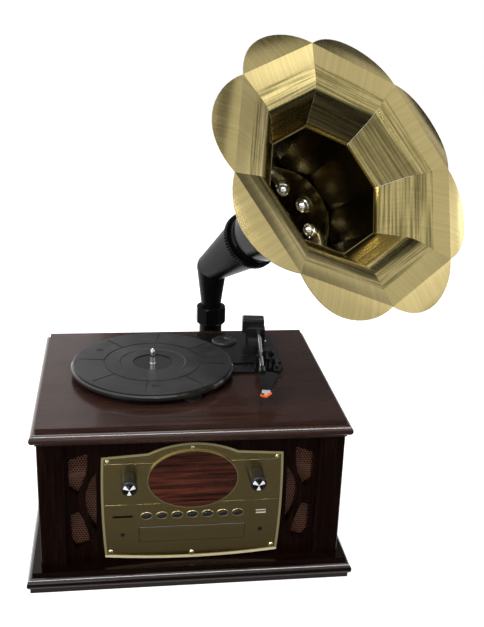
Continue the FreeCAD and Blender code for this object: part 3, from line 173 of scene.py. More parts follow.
SMEAR_FINENESS = 0.35
rubbed_film, film_in, film_out = start_group(
    "rubbed_film", [("Vector", "NodeSocketVector"), ("Ripple", "NodeSocketFloat"),
                    ("Smooth", "NodeSocketFloat"), ("Dull", "NodeSocketFloat")], ["Height", "Roughness"])
ripple_noise = group_noise(rubbed_film, film_in, "Ripple", detail=2.0)
join(rubbed_film, ripple_noise, "Fac", film_out, "Height")
smear_noise = group_noise(rubbed_film, film_in, "Ripple", SMEAR_FINENESS, detail=7.0, roughness=0.68,
                          distortion=0.4)
smear_range = add(rubbed_film, "ShaderNodeMapRange", from_min=0.35, from_max=0.75)
join(rubbed_film, smear_noise, "Fac", smear_range, "Value")
join(rubbed_film, film_in, "Smooth", smear_range, "To Min")
join(rubbed_film, film_in, "Dull", smear_range, "To Max")
join(rubbed_film, smear_range, "Result", film_out, "Roughness")


def film_on(tree, shader, ripple, smooth, dull, strength, distance):
    """Gives a finish its rippled surface, smooth in places and rubbed dull in others."""
    film = placed_group(tree, rubbed_film, Ripple=ripple, Smooth=smooth, Dull=dull)
    tree.links.new(place_on(tree), film.inputs["Vector"])
    join(tree, film, "Roughness", shader, "Roughness")
    bump = add(tree, "ShaderNodeBump", strength=strength, distance=distance)
    join(tree, film, "Height", bump, "Height")
    join(tree, bump, "Normal", shader, "Normal")


PORE_TINT = (0.35, 0.3, 0.28)
LACQUER_TINT = (1.0, 0.8, 0.72, 1.0)
EDGE_COAT_IOR = 1.8


def lacquered_wood(name, grain, dark, middle, light, gloss, coat, edge_coat=None):
    """Wood under lacquer. An edge coat lies thick where a rounded edge turns upwards."""
    finish, tree, shader = new_finish(name, middle, roughness=0.35)
    figure = stretched(tree, place_on(tree), grain, wood_figure, Bands=1.0)
    stain = toned(tree, figure.outputs["Figure"], (0.32, dark), (0.5, middle), (0.72, light))
    pored = colour_mix(tree, figure.outputs["Pores"], stain, PORE_TINT, "MULTIPLY")
    tree.links.new(pored, shader.inputs["Base Color"])
    film_on(tree, shader, ripple=55.0, smooth=0.16, dull=0.34, strength=0.12, distance=0.0012)
    shader.inputs["Specular IOR Level"].default_value = gloss
    shader.inputs["Specular Tint"].default_value = LACQUER_TINT
    shader.inputs["Coat Weight"].default_value = coat
    shader.inputs["Coat Roughness"].default_value = 0.07
    if edge_coat is not None:
        shader.inputs["Coat IOR"].default_value = EDGE_COAT_IOR
        upwards = axis_of(tree, "Z", "Normal")
        rises = add(tree, "ShaderNodeMapRange", from_min=0.15, from_max=0.45)
        levels = add(tree, "ShaderNodeMapRange", from_min=0.9, from_max=0.99, to_min=1.0, to_max=0.0)
        for part in (rises, levels):
            tree.links.new(upwards, part.inputs["Value"])
        rounded = tree_math(tree, "MULTIPLY", rises.outputs["Result"], levels.outputs["Result"])
        weight = tree_math(tree, "ADD", tree_math(tree, "MULTIPLY", rounded, edge_coat - coat), coat)
        tree.links.new(weight, shader.inputs["Coat Weight"])
    return finish


MAHOGANY = ((0.003, 0.001, 0.0007), (0.0055, 0.0019, 0.0012), (0.011, 0.0035, 0.0022))
SIDE_MAHOGANY = ((0.012, 0.0052, 0.0038), (0.020, 0.0085, 0.006), (0.031, 0.0125, 0.009))
# The top board's mahogany is lighter than the rest: painted light and reflection on the upward-facing top.
TOP_MAHOGANY_PAINTED_LIGHT = ((0.022, 0.0105, 0.008), (0.034, 0.016, 0.012), (0.050, 0.0225, 0.0165))
ALONG_X = (7.0, 130.0, 130.0)
ALONG_Y = (130.0, 7.0, 130.0)
UPRIGHT = (130.0, 130.0, 7.0)
dress(lacquered_wood("lacquered_mahogany_long", ALONG_X, *MAHOGANY, gloss=0.12, coat=0.08, edge_coat=1.0),
      "plinth")
dress(lacquered_wood("lacquered_mahogany_side", ALONG_Y, *SIDE_MAHOGANY, gloss=0.06, coat=0.02),
      "side_panels")
dress(lacquered_wood("lacquered_mahogany_upright", UPRIGHT, *MAHOGANY, gloss=0.08, coat=0.03),
      "front_panel", "corner_pilasters")
dress(lacquered_wood("lacquered_mahogany_top_painted_light", ALONG_X, *TOP_MAHOGANY_PAINTED_LIGHT, gloss=0.15, coat=0.15, edge_coat=1.0),
      "top_board")


# Bottom and back boards: plain hardboard, stained dark and left matt, set into the carcass. The back board has
# round vents and holds the mains inlet.
HARDBOARD = (0.03, 0.018, 0.012)
HARDBOARD_DARK = (0.016, 0.009, 0.006)
HARDBOARD_LIGHT = (0.055, 0.032, 0.021)
HARDBOARD_GRAIN = (9.0, 60.0, 110.0)
hardboard, hardboard_tree, hardboard_shader = new_finish("stained_back_board", HARDBOARD, roughness=0.7)
hardboard_figure = stretched(hardboard_tree, place_on(hardboard_tree), HARDBOARD_GRAIN, wood_figure, Bands=1.0)
hardboard_stain = toned(hardboard_tree, hardboard_figure.outputs["Figure"], (0.0, HARDBOARD_DARK),
                        (1.0, HARDBOARD_LIGHT))
hardboard_tree.links.new(hardboard_stain, hardboard_shader.inputs["Base Color"])
film_on(hardboard_tree, hardboard_shader, ripple=160.0, smooth=0.55, dull=0.78, strength=0.2, distance=0.0008)
dress(hardboard, "back_panel", "bottom_board")


# Loudspeakers: copper-coloured perforated sheet behind the fretwork, with round holes in staggered rows; behind
# it a pressed steel basket with its magnet, and a black paper cone.
def start_tree(name, inputs):
    tree = bpy.data.node_groups.new(name, "GeometryNodeTree")
    tree.interface.new_socket("Geometry", in_out="OUTPUT", socket_type="NodeSocketGeometry")
    keys = {}
    for label, kind in inputs:
        keys[label] = tree.interface.new_socket(label, in_out="INPUT", socket_type=kind).identifier
    return tree, keys, tree.nodes.new("NodeGroupInput"), tree.nodes.new("NodeGroupOutput")


def stamped_on(tree, points, tree_in, source):
    """Stamps the object that an input names on every point."""
    info = add(tree, "GeometryNodeObjectInfo")
    join(tree, tree_in, source, info, "Object")
    stamped = add(tree, "GeometryNodeInstanceOnPoints")
    tree.links.new(points, stamped.inputs["Points"])
    join(tree, info, "Geometry", stamped, "Instance")
    return stamped.outputs["Instances"]


def end_tree(tree, stamps, tree_in, tree_out):
    """Makes the stamps real and gives them the finish that an input names."""
    whole = add(tree, "GeometryNodeRealizeInstances")
    tree.links.new(stamps, whole.inputs["Geometry"])
    dressed = add(tree, "GeometryNodeSetMaterial")
    join(tree, whole, "Geometry", dressed, "Geometry")
    join(tree, tree_in, "Finish", dressed, "Material")
    join(tree, dressed, "Geometry", tree_out, "Geometry")


def grown(name, tree, keys, values, body):
    """Grows a tree into a plain mesh, as a piece of its own."""
    holder = bpy.data.objects.new(name, bpy.data.meshes.new(name))
    bpy.context.scene.collection.objects.link(holder)
    modifier = holder.modifiers.new("grow", "NODES")
    modifier.node_group = tree
    for label, value in values.items():
        modifier[keys[label]] = value
    holder.update_tag()
    bpy.context.view_layer.update()
    evaluated = holder.evaluated_get(bpy.context.evaluated_depsgraph_get())
    mesh = bpy.data.meshes.new_from_object(evaluated)
    holder.modifiers.clear()
    holder.data = mesh
    mesh.name = name
    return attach(holder, body)


SHEET_PITCH = 0.0036
HOLE_R = 0.00152
SHEET_T = 0.0006
CELL_SIDES = 12
ROW_SHARE = math.sqrt(3.0) / 2.0


def perforated_cell():
    """One six-sided cell of the sheet, round its hole and down the hole's wall."""
    shape = bmesh.new()
    edge, rim, foot = [], [], []
    for step in range(CELL_SIDES):
        angle = math.radians(360 * step / CELL_SIDES)
        reach = SHEET_PITCH / (2.0 if step % 2 == 0 else math.sqrt(3.0))
        outwards = Vector((math.cos(angle), math.sin(angle), 0.0))
        edge.append(shape.verts.new(outwards * reach))
        rim.append(shape.verts.new(outwards * HOLE_R))
        foot.append(shape.verts.new(outwards * HOLE_R - Vector((0.0, 0.0, SHEET_T))))
    for outer, inner in ((edge, rim), (rim, foot)):
        for step in range(CELL_SIDES):
            after = (step + 1) % CELL_SIDES
            shape.faces.new((outer[step], outer[after], inner[after], inner[step]))
    mesh = bpy.data.meshes.new("perforated_cell")
    shape.to_mesh(mesh)
    shape.free()
    return mesh


sheet_tree, sheet_keys, sheet_in, sheet_out = start_tree("perforated_sheet", [
    ("Columns", "NodeSocketInt"), ("Rows", "NodeSocketInt"), ("Pitch", "NodeSocketFloat"),
    ("Place", "NodeSocketVector"), ("Cell", "NodeSocketObject"), ("Finish", "NodeSocketMaterial")])
column_pitch = sheet_in.outputs["Pitch"]
row_pitch = tree_math(sheet_tree, "MULTIPLY", column_pitch, ROW_SHARE)
lattice = add(sheet_tree, "GeometryNodeMeshGrid")
for count, pitch, axis in (("Columns", column_pitch, "X"), ("Rows", row_pitch, "Y")):
    spaces = tree_math(sheet_tree, "SUBTRACT", sheet_in.outputs[count], 1.0)
    sheet_tree.links.new(tree_math(sheet_tree, "MULTIPLY", spaces, pitch), lattice.inputs[f"Size {axis}"])
    join(sheet_tree, sheet_in, count, lattice, f"Vertices {axis}")
index = add(sheet_tree, "GeometryNodeInputIndex")
row = tree_math(sheet_tree, "MODULO", index.outputs[0], sheet_in.outputs["Rows"])
odd = tree_math(sheet_tree, "MODULO", row, 2.0)
half_pitch = tree_math(sheet_tree, "MULTIPLY", column_pitch, 0.5)
stagger = add(sheet_tree, "ShaderNodeCombineXYZ")
sheet_tree.links.new(tree_math(sheet_tree, "MULTIPLY", odd, half_pitch), stagger.inputs["X"])
moved = add(sheet_tree, "GeometryNodeSetPosition")
join(sheet_tree, lattice, "Mesh", moved, "Geometry")
join(sheet_tree, stagger, "Vector", moved, "Offset")
cells = stamped_on(sheet_tree, moved.outputs["Geometry"], sheet_in, "Cell")
stood = add(sheet_tree, "GeometryNodeTransform", Rotation=(math.radians(90), 0.0, 0.0))
sheet_tree.links.new(cells, stood.inputs["Geometry"])
join(sheet_tree, sheet_in, "Place", stood, "Translation")
end_tree(sheet_tree, stood.outputs["Geometry"], sheet_in, sheet_out)


def noise_on(tree, **values):
    """Noise that keeps its place on a piece."""
    noise = add(tree, "ShaderNodeTexNoise", **values)
    tree.links.new(place_on(tree), noise.inputs["Vector"])
    return noise.outputs["Fac"]


COPPER_DARK = (0.16, 0.065, 0.04)
COPPER = (0.22, 0.095, 0.058)
COPPER_LIGHT = (0.34, 0.15, 0.09)
copper, copper_tree, copper_shader = new_finish("copper_perforated_sheet", COPPER, roughness=0.35,
                                                 metallic=0.3)
tarnish = noise_on(copper_tree, scale=38.0, detail=5.0)
tarnished = toned(copper_tree, tarnish, (0.0, COPPER_DARK), (1.0, COPPER_LIGHT))
copper_tree.links.new(tarnished, copper_shader.inputs["Base Color"])
film_on(copper_tree, copper_shader, ripple=90.0, smooth=0.28, dull=0.5, strength=0.15, distance=0.0006)

GRILLE_W = 0.042
SHEET_INSET = 0.0001
cell = bpy.data.objects.new("perforated_cell", perforated_cell())
grille_low, grille_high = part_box("speaker_grilles")
columns = int(GRILLE_W / SHEET_PITCH - 0.5)
rows = int((grille_high.z - grille_low.z) / (SHEET_PITCH * ROW_SHARE)) - 1
for name, side in (("left_speaker_sheet", -1), ("right_speaker_sheet", 1)):
    sheet_at = (side * (grille_high.x - GRILLE_W / 2) - SHEET_PITCH / 4, grille_low.y + SHEET_INSET,
                (grille_low.z + grille_high.z) / 2)
    sheet = grown(name, sheet_tree, sheet_keys, {"Columns": columns, "Rows": rows, "Pitch": SHEET_PITCH,
                                                 "Place": sheet_at, "Cell": cell, "Finish": copper},
                  "cabinet")
    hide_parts("speaker_grilles")

MOTTLE_DARK = 0.75
MOTTLE_LIGHT = 1.3


def satin_paint(name, colour, smooth, dull, grain=900.0, strength=0.25, distance=0.00025, coat=0.0, gloss=0.5):
    """Paint, plastic, paper or rubber of one colour, slightly mottled, with a fine grain."""
    finish, tree, shader = new_finish(name, colour, dull)
    film_on(tree, shader, grain, smooth, dull, strength, distance)
    mottle = noise_on(tree, scale=60.0, detail=4.0)
    mottled = toned(tree, mottle, (0.0, [MOTTLE_DARK * c for c in colour]),
                    (1.0, [MOTTLE_LIGHT * c for c in colour]))
    tree.links.new(mottled, shader.inputs["Base Color"])
    shader.inputs["Specular IOR Level"].default_value = gloss
    shader.inputs["Coat Weight"].default_value = coat
    shader.inputs["Coat Roughness"].default_value = 0.12
    return finish


dress(satin_paint("basket_paint", (0.02, 0.02, 0.021), smooth=0.3, dull=0.5), "speaker_frames")
dress(satin_paint("cone_paper", (0.028, 0.026, 0.024), smooth=0.75, dull=0.95, grain=500.0, strength=0.6,
                  distance=0.0006), "speaker_cones")


# Control plate: polished brass sheet, aged to olive, with a rolled rim and two raised lines on each side
# of the oval. Six small dome screws hold it to the front panel. The rim is painted flat: olive as painted shade
# in place of its dark reflection, and cream along its foot as a painted highlight.
CLOUD_FINENESS = 0.13
CLOUD_SHARE = 0.45
brush_lines, lines_in, lines_out = start_group(
    "brush_lines", [("Vector", "NodeSocketVector"), ("Fineness", "NodeSocketFloat")], ["Line", "Cloud"])
line_noise = group_noise(brush_lines, lines_in, "Fineness", detail=4.0, roughness=0.7)
join(brush_lines, line_noise, "Fac", lines_out, "Line")
cloud_noise = group_noise(brush_lines, lines_in, "Fineness", CLOUD_FINENESS, detail=3.0)
join(brush_lines, cloud_noise, "Fac", lines_out, "Cloud")


def brushed_metal(name, dark, light, rough, stretch, coord="Object", turn=(0.0, 0.0, 0.0), bump=0.12):
    """Metal brushed in lines, with its roughness running between two values over them."""
    finish, tree, shader = new_finish(name, light, rough[0], metallic=1.0)
    turned = add(tree, "ShaderNodeMapping", vector_type="TEXTURE", Rotation=turn)
    tree.links.new(place_on(tree, coord), turned.inputs["Vector"])
    lines = stretched(tree, turned.outputs["Vector"], stretch, brush_lines, Fineness=1.0)
    clouded = add(tree, "ShaderNodeMix", data_type="FLOAT")
    clouded.inputs[0].default_value = CLOUD_SHARE
    join(tree, lines, "Line", clouded, 2)
    join(tree, lines, "Cloud", clouded, 3)
    brushed = toned(tree, clouded.outputs[0], (0.3, dark), (0.7, light))
    tree.links.new(brushed, shader.inputs["Base Color"])
    spread = add(tree, "ShaderNodeMapRange", from_min=0.3, from_max=0.7, to_min=rough[0], to_max=rough[1])
    join(tree, lines, "Line", spread, "Value")
    join(tree, spread, "Result", shader, "Roughness")
    relief = add(tree, "ShaderNodeBump", strength=bump, distance=0.0003)
    join(tree, lines, "Line", relief, "Height")
    join(tree, relief, "Normal", shader, "Normal")
    return finish


def stands_out(tree, level):
    """Finds what lies in front of a level, on a piece that faces -Y."""
    return tree_math(tree, "LESS_THAN", axis_of(tree, "Y"), level)


def tone_over(finish, mask, colour):
    """Gives a finish another colour where the mask is one."""
    tree = finish.node_tree
    base = tree.nodes["Principled BSDF"].inputs["Base Color"]
    below = base.links[0].from_socket if base.is_linked else base.default_value
    tree.links.new(colour_mix(tree, mask, below, colour), base)


def paint_over(finish, mask, colour):
    """Gives a metal a plain painted colour where the mask is one."""
    tone_over(finish, mask, colour)
    tree = finish.node_tree
    metal = tree_math(tree, "SUBTRACT", 1.0, mask)
    tree.links.new(metal, tree.nodes["Principled BSDF"].inputs["Metallic"])


PLATE_FACE_Y = -0.154
RIM_PROUD = 0.0003
RIM_HIGHLIGHT_H = 0.009
AGED_BRASS = ((0.40, 0.31, 0.132), (0.47, 0.365, 0.16))
RIM_SHADED_OLIVE = (0.22, 0.185, 0.09)
RIM_PAINTED_HIGHLIGHT = (0.66, 0.60, 0.39)
PLATE_BRUSHING = (14.0, 90.0, 420.0)
TRIM_BRUSHING = (60.0, 300.0, 300.0)
plate_brass = brushed_metal("aged_plate_brass", *AGED_BRASS, rough=(0.21, 0.24), stretch=PLATE_BRUSHING,
                            bump=0.002)
plate_tree = plate_brass.node_tree
plate_low, plate_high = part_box("faceplate")
plate_rim = stands_out(plate_tree, PLATE_FACE_Y - RIM_PROUD)
rim_highlight_low = tree_math(plate_tree, "LESS_THAN", axis_of(plate_tree, "Z"), plate_low.z + RIM_HIGHLIGHT_H)
# The rim is painted, not bare metal: flat olive as painted shade, and cream along its foot as a painted
# highlight.
paint_over(plate_brass, plate_rim, RIM_SHADED_OLIVE)
tone_over(plate_brass, tree_math(plate_tree, "MULTIPLY", plate_rim, rim_highlight_low), RIM_PAINTED_HIGHLIGHT)
line_brass = brushed_metal("dull_line_brass", (0.22, 0.18, 0.08), (0.34, 0.28, 0.13), rough=(0.18, 0.32),
                           stretch=TRIM_BRUSHING, bump=0.04)
bright_brass = brushed_metal("bright_rim_brass", (0.62, 0.52, 0.26), (0.86, 0.76, 0.45), rough=(0.14, 0.26),
                             stretch=TRIM_BRUSHING, bump=0.04)
dress(plate_brass, "faceplate")
dress(bright_brass, "oval_rim", "faceplate_screws")


def finished(name, shape, finish, body, smooth):
    """Makes a shape a piece, smooth wherever it bends less than an angle in degrees."""
    bmesh.ops.recalc_face_normals(shape, faces=shape.faces[:])
    mesh = bpy.data.meshes.new(name)
    shape.to_mesh(mesh)
    shape.free()
    mesh.shade_smooth()
    mesh.set_sharp_from_angle(angle=math.radians(smooth))
    mesh.materials.append(finish)
    piece = bpy.data.objects.new(name, mesh)
    bpy.context.scene.collection.objects.link(piece)
    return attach(piece, body)


def swept(shape, rings, closed=False):
    """Joins rings of points, one after another, into a skin that is closed or capped."""
    rows = [[shape.verts.new(point) for point in ring] for ring in rings]
    pairs = list(zip(rows, rows[1:])) + ([(rows[-1], rows[0])] if closed else [])
    for first, second in pairs:
        for step in range(len(first)):
            after = (step + 1) % len(first)
            shape.faces.new((first[step], first[after], second[after], second[step]))
    if not closed:
        shape.faces.new(rows[0])
        shape.faces.new(rows[-1])


LINE_W = 0.0011
LINE_H = 0.0006
LINE_LEVELS = (0.172, 0.1125)
LINE_ENDS = ((0.0, 0.2), (0.01, 1.0), (0.99, 1.0), (1.0, 0.2))
LINE_SIDES = 6
LINE_SUNK = 0.0001
GAP_AT_OVAL = 0.0008
GAP_AT_SIDE = 0.0042
oval_low, oval_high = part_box("oval_rim")
oval_x = (oval_high.x - oval_low.x) / 2
oval_z = (oval_high.z - oval_low.z) / 2
raised = bmesh.new()
for level in LINE_LEVELS:
    lift = (level - (oval_low.z + oval_high.z) / 2) / oval_z
    near = oval_x * math.sqrt(1.0 - lift * lift) + GAP_AT_OVAL
    for side in (-1, 1):
        line_rings = []
        for share, size in LINE_ENDS:
            x = side * (near + share * (plate_high.x - GAP_AT_SIDE - near))
            bends = [math.pi * k / LINE_SIDES for k in range(LINE_SIDES + 1)]
            line_rings.append([(x, PLATE_FACE_Y - size * LINE_H * math.sin(bend) + LINE_SUNK,
                                level + size * LINE_W / 2 * math.cos(bend)) for bend in bends])
        swept(raised, line_rings)
finished("faceplate_lines", raised, line_brass, "cabinet", smooth=50)


# Oval plaque: rosewood veneer under gloss lacquer, with dark streaks running across it, inside the bright rim.
# The rim clamps it to the control plate.
ROSEWOOD = ((0.006, 0.0022, 0.0016), (0.042, 0.011, 0.006), (0.13, 0.031, 0.016))
ROSEWOOD_GRAIN = (6.0, 60.0, 150.0)
dress(lacquered_wood("rosewood_veneer", ROSEWOOD_GRAIN, *ROSEWOOD, gloss=0.2, coat=0.15), "oval_plaque")


# Knobs and buttons: gloss black plastic caps. The knobs carry a domed chrome disc on the end, painted with
# a white three-armed star as a painted highlight, and each oval button comes through a cream-bright brass ring
# pressed into the plate.
gloss_black = satin_paint("gloss_black_plastic", (0.012, 0.012, 0.013), smooth=0.12, dull=0.26, grain=200.0,
                          strength=0.05, distance=0.0003)
dress(gloss_black, "volume_knob", "tuning_knob", "power_button", "source_button", "previous_button",
      "play_button", "next_button", "stop_button", "record_button")


def polished_metal(name, colour, smooth, dull):
    finish, tree, shader = new_finish(name, colour, smooth, metallic=1.0)
    film_on(tree, shader, ripple=140.0, smooth=smooth, dull=dull, strength=0.04, distance=0.0004)
    return finish


DISC_R = 0.0079
DISC_SIDES = 40
DISC_PROFILE = ((DISC_R, 0.0003), (DISC_R, -0.0003), (DISC_R * 0.9, -0.0007), (DISC_R * 0.84, -0.0004),
                (DISC_R * 0.6, -0.0011), (DISC_R * 0.3, -0.0015), (0.0004, -0.0016))
# A white three-armed star painted on each dark chrome disc is a painted highlight.
GLINT_ARMS = 3
GLINT_EDGE = 0.45
PAINTED_GLINT_WHITE = (0.8, 0.8, 0.8)
for name, body in (("volume_end", "volume_knob"), ("tuning_end", "tuning_knob")):
    low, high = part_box(body)
    centre = Vector(((low.x + high.x) / 2, low.y, (low.z + high.z) / 2))
    disc = bmesh.new()
    disc_turns = [math.tau * k / DISC_SIDES for k in range(DISC_SIDES)]
    swept(disc, [[(centre.x + reach * math.cos(turn), centre.y + out, centre.z + reach * math.sin(turn))
                  for turn in disc_turns] for reach, out in DISC_PROFILE])
    disc_finish = polished_metal(f"{name}_chrome", (0.05, 0.05, 0.053), smooth=0.06, dull=0.16)
    disc_tree = disc_finish.node_tree
    sideways = tree_math(disc_tree, "SUBTRACT", axis_of(disc_tree, "X"), centre.x)
    upwards = tree_math(disc_tree, "SUBTRACT", axis_of(disc_tree, "Z"), centre.z)
    angle = tree_math(disc_tree, "ARCTAN2", upwards, sideways)
    glint_arms = tree_math(disc_tree, "SINE", tree_math(disc_tree, "MULTIPLY", angle, GLINT_ARMS), 0.0)
    paint_over(disc_finish, tree_math(disc_tree, "GREATER_THAN", glint_arms, GLINT_EDGE), PAINTED_GLINT_WHITE)
    finished(name, disc, disc_finish, body, smooth=35)

ring_tree, ring_keys, ring_in, ring_out = start_tree("button_rings", [
    ("Count", "NodeSocketInt"), ("First", "NodeSocketVector"), ("Pitch", "NodeSocketFloat"),
    ("Ring", "NodeSocketObject"), ("Finish", "NodeSocketMaterial")])
row_line = add(ring_tree, "GeometryNodeMeshLine")
button_step = add(ring_tree, "ShaderNodeCombineXYZ")
join(ring_tree, ring_in, "Pitch", button_step, "X")
join(ring_tree, ring_in, "Count", row_line, "Count")
join(ring_tree, ring_in, "First", row_line, "Start Location")
join(ring_tree, button_step, "Vector", row_line, "Offset")
end_tree(ring_tree, stamped_on(ring_tree, row_line.outputs["Mesh"], ring_in, "Ring"), ring_in, ring_out)

BUTTONS = 7
RING_HALF_W = 0.0074
RING_HALF_H = 0.0049
RING_BEAD = 0.0007
RING_SIDES = 48
BEAD_POINTS = 6
ring_shape = bmesh.new()
ring_rows = []
for k in range(RING_SIDES):
    turn = math.tau * k / RING_SIDES
    ring_rows.append([((RING_HALF_W + RING_BEAD * math.cos(bend)) * math.cos(turn),
                       -RING_BEAD * max(0.0, math.sin(bend)),
                       (RING_HALF_H + RING_BEAD * math.cos(bend)) * math.sin(turn))
                      for bend in np.linspace(0, math.pi, BEAD_POINTS)])
swept(ring_shape, ring_rows, closed=True)
bmesh.ops.recalc_face_normals(ring_shape, faces=ring_shape.faces[:])
ring_mesh = bpy.data.meshes.new("button_ring")
ring_shape.to_mesh(ring_mesh)
ring_shape.free()
ring_mesh.shade_smooth()
ring = bpy.data.objects.new("button_ring", ring_mesh)
first_low, first_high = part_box("power_button")
last_low, last_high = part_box("record_button")
first_x = (first_low.x + first_high.x) / 2
last_x = (last_low.x + last_high.x) / 2
first_at = (first_x, PLATE_FACE_Y, (first_low.z + first_high.z) / 2)
grown("button_rings", ring_tree, ring_keys, {
    "Count": BUTTONS, "First": first_at, "Pitch": (last_x - first_x) / (BUTTONS - 1), "Ring": ring,
    "Finish": bright_brass}, "cabinet")


# Sockets in the plate: a cream data socket with a dark line painted along its middle as painted shade in its
# opening, a memory-card slot and two jacks moulded in black. The mains inlet in the back board is moulded of
# the same black.
SLOT_H = 0.0014
SLOT_PAINTED_SHADE = (0.012, 0.012, 0.012)
ivory = satin_paint("cream_socket", (0.72, 0.66, 0.52), smooth=0.3, dull=0.45, grain=400.0, strength=0.08)
moulded_black = satin_paint("moulded_black", (0.016, 0.016, 0.017), smooth=0.35, dull=0.55, grain=1400.0,
                            strength=0.35)
socket_low, socket_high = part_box("usb_socket")
# A dark band painted across the socket's middle is painted shade in its opening.
slot_shade_band = tree_math(ivory.node_tree, "COMPARE", axis_of(ivory.node_tree, "Z"), (socket_low.z + socket_high.z) / 2)
slot_shade_band.node.inputs[2].default_value = SLOT_H / 2
tone_over(ivory, slot_shade_band, SLOT_PAINTED_SHADE)
dress(ivory, "usb_socket")
dress(moulded_black, "card_socket", "audio_jacks", "power_inlet")


# Disc drive: a folded steel case on four legs, and a black tray that slides in it, its front faced with the
# plate's own brass. The transformer, motor and potentiometers are of the same bare steel.
STEEL_LINE = (0.375, 0.375, 0.375)
STEEL = (0.5, 0.5, 0.5)
dress(brushed_metal("plain_steel", STEEL_LINE, STEEL, rough=(0.3, 0.45), stretch=(30.0, 260.0, 260.0),
                    bump=0.06),
      "cd_chassis", "potentiometers", "power_transformer", "platter_motor")

FACED_TO_Y = -0.1522
LOOKS_UP = 0.5
TRAY_BLACK = (0.018, 0.018, 0.019)
tray_finish, tray_tree, tray_shader = new_finish("brass_faced_tray", TRAY_BLACK, roughness=0.35)
faced = tree_math(tray_tree, "MULTIPLY", stands_out(tray_tree, FACED_TO_Y),
                  tree_math(tray_tree, "LESS_THAN", axis_of(tray_tree, "Z", "Normal"), LOOKS_UP))
tray_tree.links.new(faced, tray_shader.inputs["Metallic"])
tray_lines = stretched(tray_tree, place_on(tray_tree), PLATE_BRUSHING, brush_lines, Fineness=1.0)
tray_brass = toned(tray_tree, tray_lines.outputs["Cloud"], (0.3, AGED_BRASS[0]), (0.7, AGED_BRASS[1]))
tray_tree.links.new(colour_mix(tray_tree, faced, TRAY_BLACK, tray_brass), tray_shader.inputs["Base Color"])
film_on(tray_tree, tray_shader, ripple=180.0, smooth=0.2, dull=0.25, strength=0.01, distance=0.0002)
dress(tray_finish, "cd_tray")


# Circuit boards inside the cabinet: green solder mask with paler copper lanes showing through. One carries the
# switches behind the control plate, the other is the amplifier.
BOARD_GREEN = (0.02, 0.12, 0.05)
LANE_GREEN = (0.05, 0.2, 0.07)
MASK_GREEN = (0.012, 0.085, 0.035)
board_finish, board_tree, board_shader = new_finish("circuit_board", BOARD_GREEN, roughness=0.4)
lanes = add(board_tree, "ShaderNodeTexVoronoi", scale=240.0, distance="CHEBYCHEV")
board_tree.links.new(place_on(board_tree), lanes.inputs["Vector"])
laned = toned(board_tree, lanes.outputs["Distance"], (0.0, LANE_GREEN), (0.45, MASK_GREEN))
board_tree.links.new(laned, board_shader.inputs["Base Color"])
film_on(board_tree, board_shader, ripple=300.0, smooth=0.3, dull=0.5, strength=0.1, distance=0.0003)
dress(board_finish, "control_board", "amplifier_board")


# Record deck: a gloss black moulded plate screwed to the top board, with a well for the single-record adapter,
# a belt drive under the platter and a sliding speed lever.
chrome = polished_metal("polished_chrome", (0.78, 0.78, 0.79), smooth=0.06, dull=0.16)
deck_black = satin_paint("deck_gloss_black", (0.006, 0.006, 0.0063), smooth=0.16, dull=0.32, grain=260.0,
                         strength=0.06, distance=0.0003, gloss=0.3)
dress(deck_black, "deck_plate", "speed_lever", "arm_rest", "cue_lever")
dress(moulded_black, "adapter_45")
dress(satin_paint("belt_rubber", (0.015, 0.015, 0.015), smooth=0.7, dull=0.85, grain=1200.0, strength=0.4),
      "drive_belt")
dress(chrome, "motor_pulley", "spindle")


# Platter and mat: a black enamelled metal dish with a gloss rim, and a charcoal rubber mat with fine rings
# turned into it round the spindle.
SPINDLE = (-0.045, 0.005, 0.0)
MAT_GREY = (0.03, 0.03, 0.031)
MAT_DARK = (0.011, 0.011, 0.0115)
MAT_BLOOM = (0.030, 0.030, 0.031)
dress(satin_paint("platter_enamel", (0.012, 0.012, 0.012), smooth=0.08, dull=0.2, grain=120.0, strength=0.04,
                  distance=0.0003, coat=0.6), "platter")
mat_finish, mat_tree, mat_shader = new_finish("grooved_rubber", MAT_GREY, roughness=0.55)
mat_shader.inputs["Specular IOR Level"].default_value = 0.3
mat_centre = add(mat_tree, "ShaderNodeMapping", Location=tuple(-v for v in SPINDLE))
mat_tree.links.new(place_on(mat_tree), mat_centre.inputs["Vector"])
mat_rings = add(mat_tree, "ShaderNodeTexWave", wave_type="RINGS", rings_direction="Z", scale=240.0)
join(mat_tree, mat_centre, "Vector", mat_rings, "Vector")
mat_bump = add(mat_tree, "ShaderNodeBump", strength=0.22, distance=0.0003)
join(mat_tree, mat_rings, "Fac", mat_bump, "Height")
join(mat_tree, mat_bump, "Normal", mat_shader, "Normal")
mat_film = placed_group(mat_tree, rubbed_film, Ripple=60.0, Smooth=0.28, Dull=0.46)
mat_tree.links.new(place_on(mat_tree), mat_film.inputs["Vector"])
join(mat_tree, mat_film, "Roughness", mat_shader, "Roughness")
bloom = noise_on(mat_tree, scale=26.0, detail=6.0, roughness=0.6)
bloomed = toned(mat_tree, bloom, (0.3, MAT_DARK), (0.75, MAT_BLOOM))
mat_tree.links.new(bloomed, mat_shader.inputs["Base Color"])
dress(mat_finish, "platter_mat")


